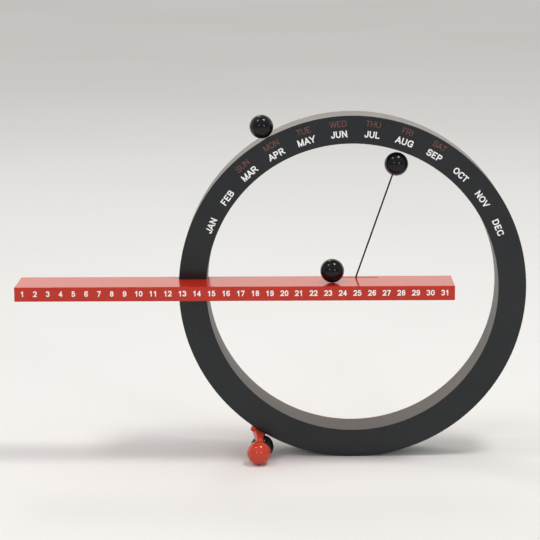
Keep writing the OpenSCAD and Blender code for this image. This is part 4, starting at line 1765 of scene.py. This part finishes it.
@dataclass
class Foot:
    """The red bracket under the ring's rim and the two balls that it holds.

    The ends of its arm are (radius, height) pairs, in widths of the arm at that end.
    """

    plan: Plan
    saddle_width: float = 6.8 * MM
    saddle_thickness: float = 2.2 * MM
    saddle_length: float = 17.4 * MM
    saddle_edge: float = 0.5 * MM
    saddle_steps: int = 4
    arm_root: float = 5.0 * MM
    arm_tip: float = 3.2 * MM
    root_end: tuple[tuple[float, float], ...] = ((0, -0.25), (0.42, 0), (0.5, 0.1))
    tip_end: tuple[tuple[float, float], ...] = ((0.5, 0), (0.38, 0.36), (0, 0.5))
    tip_lean: Point = (0.07, 0.5, 0.86)
    arm_steps: int = 40
    voxel: float = 0.16 * MM
    smoothing: float = 0.5
    smoothing_rounds: int = 8
    bracket_sharp_over: float = 30.0
    fit: float = 0.05 * MM
    rim_steps: int = 720
    hole_steps: int = 32
    latitudes: int = 97
    ball_steps: int = 128
    screw: Screw = Screw(Head.PAN, 6 * MM, 4.8 * MM, 1.4 * MM)

    def _ball(self, node: str) -> tuple[Array, float]:
        """Centre and radius of a foot ball."""
        low, high = node_box(node)
        return (low + high) / 2, float(high[2] - low[2]) / 2

    def _radial(self) -> tuple[Array, Array]:
        """Directions at the saddle, which lies where its screws are.

        Returns:
            The direction along the rim, towards the left, and the direction out of it.
        """
        x, _, z = np.mean(middles("foot_bracket_screws"), axis=0)
        angle = math.atan2(-x, self.plan.centre_z - z)
        out = np.array((-math.sin(angle), 0, -math.cos(angle)))
        return np.array((-math.cos(angle), 0, math.sin(angle))), out

    def _saddle(self) -> Solid:
        """The part of the bracket that lies against the rim.

        Returns:
            A block from the ring's front backwards.
        """
        p, half = self.plan, self.saddle_width / 2
        along, out = self._radial()
        low = (-half, p.front, p.radius - PAST)
        high = (half, p.front + self.saddle_length, p.radius + self.saddle_thickness)
        block = rounded_block(low, high, self.saddle_edge, self.saddle_steps)
        return block.turned_to(np.array([along, (0, 1, 0), out]), (0, 0, p.centre_z))

    def _arm(self) -> Solid:
        """The part of the bracket that reaches the front ball.

        Returns:
            An arm that tapers from the saddle's front to the ball's upper side.
        """
        p = self.plan
        _, out = self._radial()
        centre, radius = self._ball("foot_front_ball")
        root = (0, p.front + self.arm_root / 2, p.centre_z) + out * (p.radius + self.saddle_thickness / 2)
        tip = centre + unit(self.tip_lean) * radius
        reach = float(np.linalg.norm(tip - root))
        root_end = np.array(self.root_end) * self.arm_root
        tip_end = np.array(self.tip_end) * self.arm_tip + (0, reach)
        return turned(np.vstack([root_end, tip_end]), Axis(tuple(root), tuple(tip - root)), self.arm_steps)

    def build_bracket(self) -> None:
        """The saddle and its tapered arm, run together in one smooth moulding and seated on the balls."""
        piece = self._saddle().to_object("foot_bracket_moulding")
        carve(piece, [self._arm()], Joining.ADD)
        even = piece.modifiers.new("even_mesh", "REMESH")
        even.mode = "VOXEL"
        even.voxel_size = self.voxel
        smooth = piece.modifiers.new("run_together", "SMOOTH")
        smooth.factor = self.smoothing
        smooth.iterations = self.smoothing_rounds
        apply_modifiers(piece)
        p = self.plan
        tools = [rod(p.axis, p.radius + self.fit, -p.radius, p.radius, self.rim_steps)]
        for node in ("foot_front_ball", "foot_rear_ball"):
            centre, radius = self._ball(node)
            tools.append(self._sphere(centre, radius + self.fit))
        for seat in self._screw_seats():
            start = -self.saddle_thickness - PAST
            tools.append(rod(seat, self.screw.passage, start, PAST, self.hole_steps))
        carve(piece, tools, Joining.CUT, self.bracket_sharp_over)
        dress(piece, FOOT_RED, STAND, ["foot_bracket"])

    def _sphere(self, centre: Array, radius: float) -> Solid:
        """A ball, its points at the cosine and the sine of latitude and turn.

        Args:
            centre: Its centre.
            radius: Its radius.

        Returns:
            The shape.
        """
        latitude = np.linspace(-math.pi / 2, math.pi / 2, self.latitudes)
        outline = np.stack([radius * np.cos(latitude), radius * np.sin(latitude)], -1)
        outline[[0, -1], 0] = 0
        return turned(outline, Axis(tuple(centre), (0, 1, 0)), self.ball_steps)

    def _screw_seats(self) -> list[Axis]:
        """Where the bracket's screws sit.

        Returns:
            Their seats, on the saddle's outer face.
        """
        p = self.plan
        _, out = self._radial()
        lift = out * (p.radius + self.saddle_thickness)
        places = [np.array((0, y, p.centre_z)) + lift for _, y, _ in middles("foot_bracket_screws")]
        return [Axis(tuple(place), tuple(out)) for place in places]

    def build(self) -> None:
        """Builds the bracket, its balls and its screws."""
        self.build_bracket()
        for node, finish, slot in (
            ("foot_front_ball", FOOT_RED, "foot_ball_red"), ("foot_rear_ball", BALL_BLACK, "ball_black"),
        ):
            piece = self._sphere(*self._ball(node)).to_object(f"{node}_turned")
            dress(piece, finish, STAND, [node])
        build_screws("foot_bracket_screws_pair", self.screw, self._screw_seats(), "foot_bracket_screws")
        keep_node("foot_ball_pins", PIN_STEEL)


# ---- studio -----------------------------------------------------------------------------------


@dataclass(frozen=True)
class Lamp:
    """A soft rectangular lamp that faces the calendar."""

    name: str
    place: Point
    size: tuple[float, float]
    power: float
    colour: str = "#ffffff"
    aim: Point = (-0.03, 0.0, 0.075)

    def build(self) -> None:
        """Hangs the lamp."""
        data = bpy.data.lights.new(self.name, "AREA")
        data.shape = "RECTANGLE"
        data.size, data.size_y = self.size
        data.energy = self.power
        data.color = linear(self.colour)[:3]
        holder = bpy.data.objects.new(self.name, data)
        holder.location = self.place
        holder.rotation_euler = (Vector(self.aim) - Vector(self.place)).to_track_quat("-Z", "Y").to_euler()
        bpy.context.scene.collection.objects.link(holder)


@dataclass
class Studio:
    """The floor, the soft lights and the camera.

    The bands are spans of a sky direction's Y and Z, over which one brightness fades to the next.
    """

    image: float = 540.0
    focal: float = 2024.2
    sensor: float = 36.0
    clip: tuple[float, float] = (0.01, 50.0)
    camera_at: Point = (-21.7 * MM, -866.7 * MM, 247.8 * MM)
    yaw: float = 0.92
    pitch: float = 10.86
    roll: float = -0.41
    floor_half: float = 30.0
    sky_front: float = 0.39
    sky_top: float = 0.59
    sky_behind: float = 1.1
    behind_band: tuple[float, float] = (-0.4, 0.6)
    top_band: tuple[float, float] = (0.25, 0.75)
    sky_colour: str = "#fbfbfd"
    wall_colour: str = "#fff6ee"
    lamps: tuple[Lamp, ...] = (
        Lamp("ceiling_key", (0.37, -0.2, 1.26), (0.26, 0.26), 5.4, "#fffaf3"),
        Lamp("ceiling_left", (-0.58, -0.25, 1.1), (0.2, 0.2), 1.8),
        Lamp("window_behind", (-0.28, 0.87, 1.03), (0.3, 0.3), 1.5, "#f6f9ff"),
        Lamp("window_left", (-0.57, -1.31, 0.6), (0.22, 0.3), 1.4, "#f6f9ff"),
        Lamp("window_right", (0.63, -1.29, 0.5), (0.22, 0.3), 2.0, "#f6f9ff"),
    )

    def build_floor(self) -> None:
        """A pale floor that runs past the horizon of the picture."""
        half = self.floor_half
        corners = np.array([(-half, -half, 0), (half, -half, 0), (half, half, 0), (-half, half, 0)])
        floor = Solid(corners, [[0, 1, 2, 3]]).to_object("studio_floor")
        FLOOR_PALE.on(floor)

    def build_sky(self) -> None:
        """A soft pale surround. The wall behind is brighter than in front, and a little warm."""
        world = bpy.data.worlds.new("studio_surround")
        bpy.context.scene.world = world
        recipe = Recipe(world)
        way = {"Vector": recipe.node("ShaderNodeTexCoord", out="Generated")}
        behind = recipe.node("ShaderNodeSeparateXYZ", None, way, "Y").above(*self.behind_band)
        height = recipe.node("ShaderNodeSeparateXYZ", None, way, "Z").above(*self.top_band)
        low_sky = self.sky_front + behind * (self.sky_behind - self.sky_front)
        light = low_sky * (1 - height) + height * self.sky_top
        colour = recipe.mix(behind, linear(self.sky_colour), linear(self.wall_colour))
        sky = recipe.node("ShaderNodeBackground", None, {"Color": colour, "Strength": light})
        recipe.end("ShaderNodeOutputWorld", sky)

    def build_camera(self) -> None:
        """A long lens at the viewing point, turned by yaw, then pitch, then roll."""
        data = bpy.data.cameras.new("camera")
        data.sensor_width = self.sensor
        data.lens = self.sensor * self.focal / self.image
        data.clip_start, data.clip_end = self.clip
        camera = bpy.data.objects.new("camera", data)
        bpy.context.scene.collection.objects.link(camera)
        turn = (
            Matrix.Rotation(math.radians(self.yaw), 4, "Z")
            @ Matrix.Rotation(math.radians(90 - self.pitch), 4, "X")
            @ Matrix.Rotation(math.radians(self.roll), 4, "Z")
        )
        camera.matrix_world = Matrix.Translation(self.camera_at) @ turn
        bpy.context.scene.camera = camera

    def build(self) -> None:
        """Sets up the studio."""
        bpy.context.scene.view_settings.view_transform = "Standard"
        self.build_camera()
        self.build_sky()
        self.build_floor()
        for lamp in self.lamps:
            lamp.build()


def main() -> None:
    """Builds every sub-assembly in order."""
    logging.basicConfig(level=logging.INFO, format="%(name)s: %(message)s")
    plan = Plan()
    assemblies: list[tuple[str, Callable[[], None]]] = [
        ("studio", Studio().build),
        ("ring", RingCase(plan).build),
        ("bar", DateBar(plan).build),
        ("dial", Dial(plan).build),
        ("foot", Foot(plan).build),
        ("weekday marker", MarkerBall("weekday", "weekday_marker").build),
        ("month marker", MarkerBall("month", "month_pointer").build),
        ("pointer", Pointer(plan).build),
        ("date marker", MarkerBall("date", "date_marker").build),
    ]
    for name, build in assemblies:
        log.info("building the %s", name)
        build()


if __name__ == "__main__":
    main()
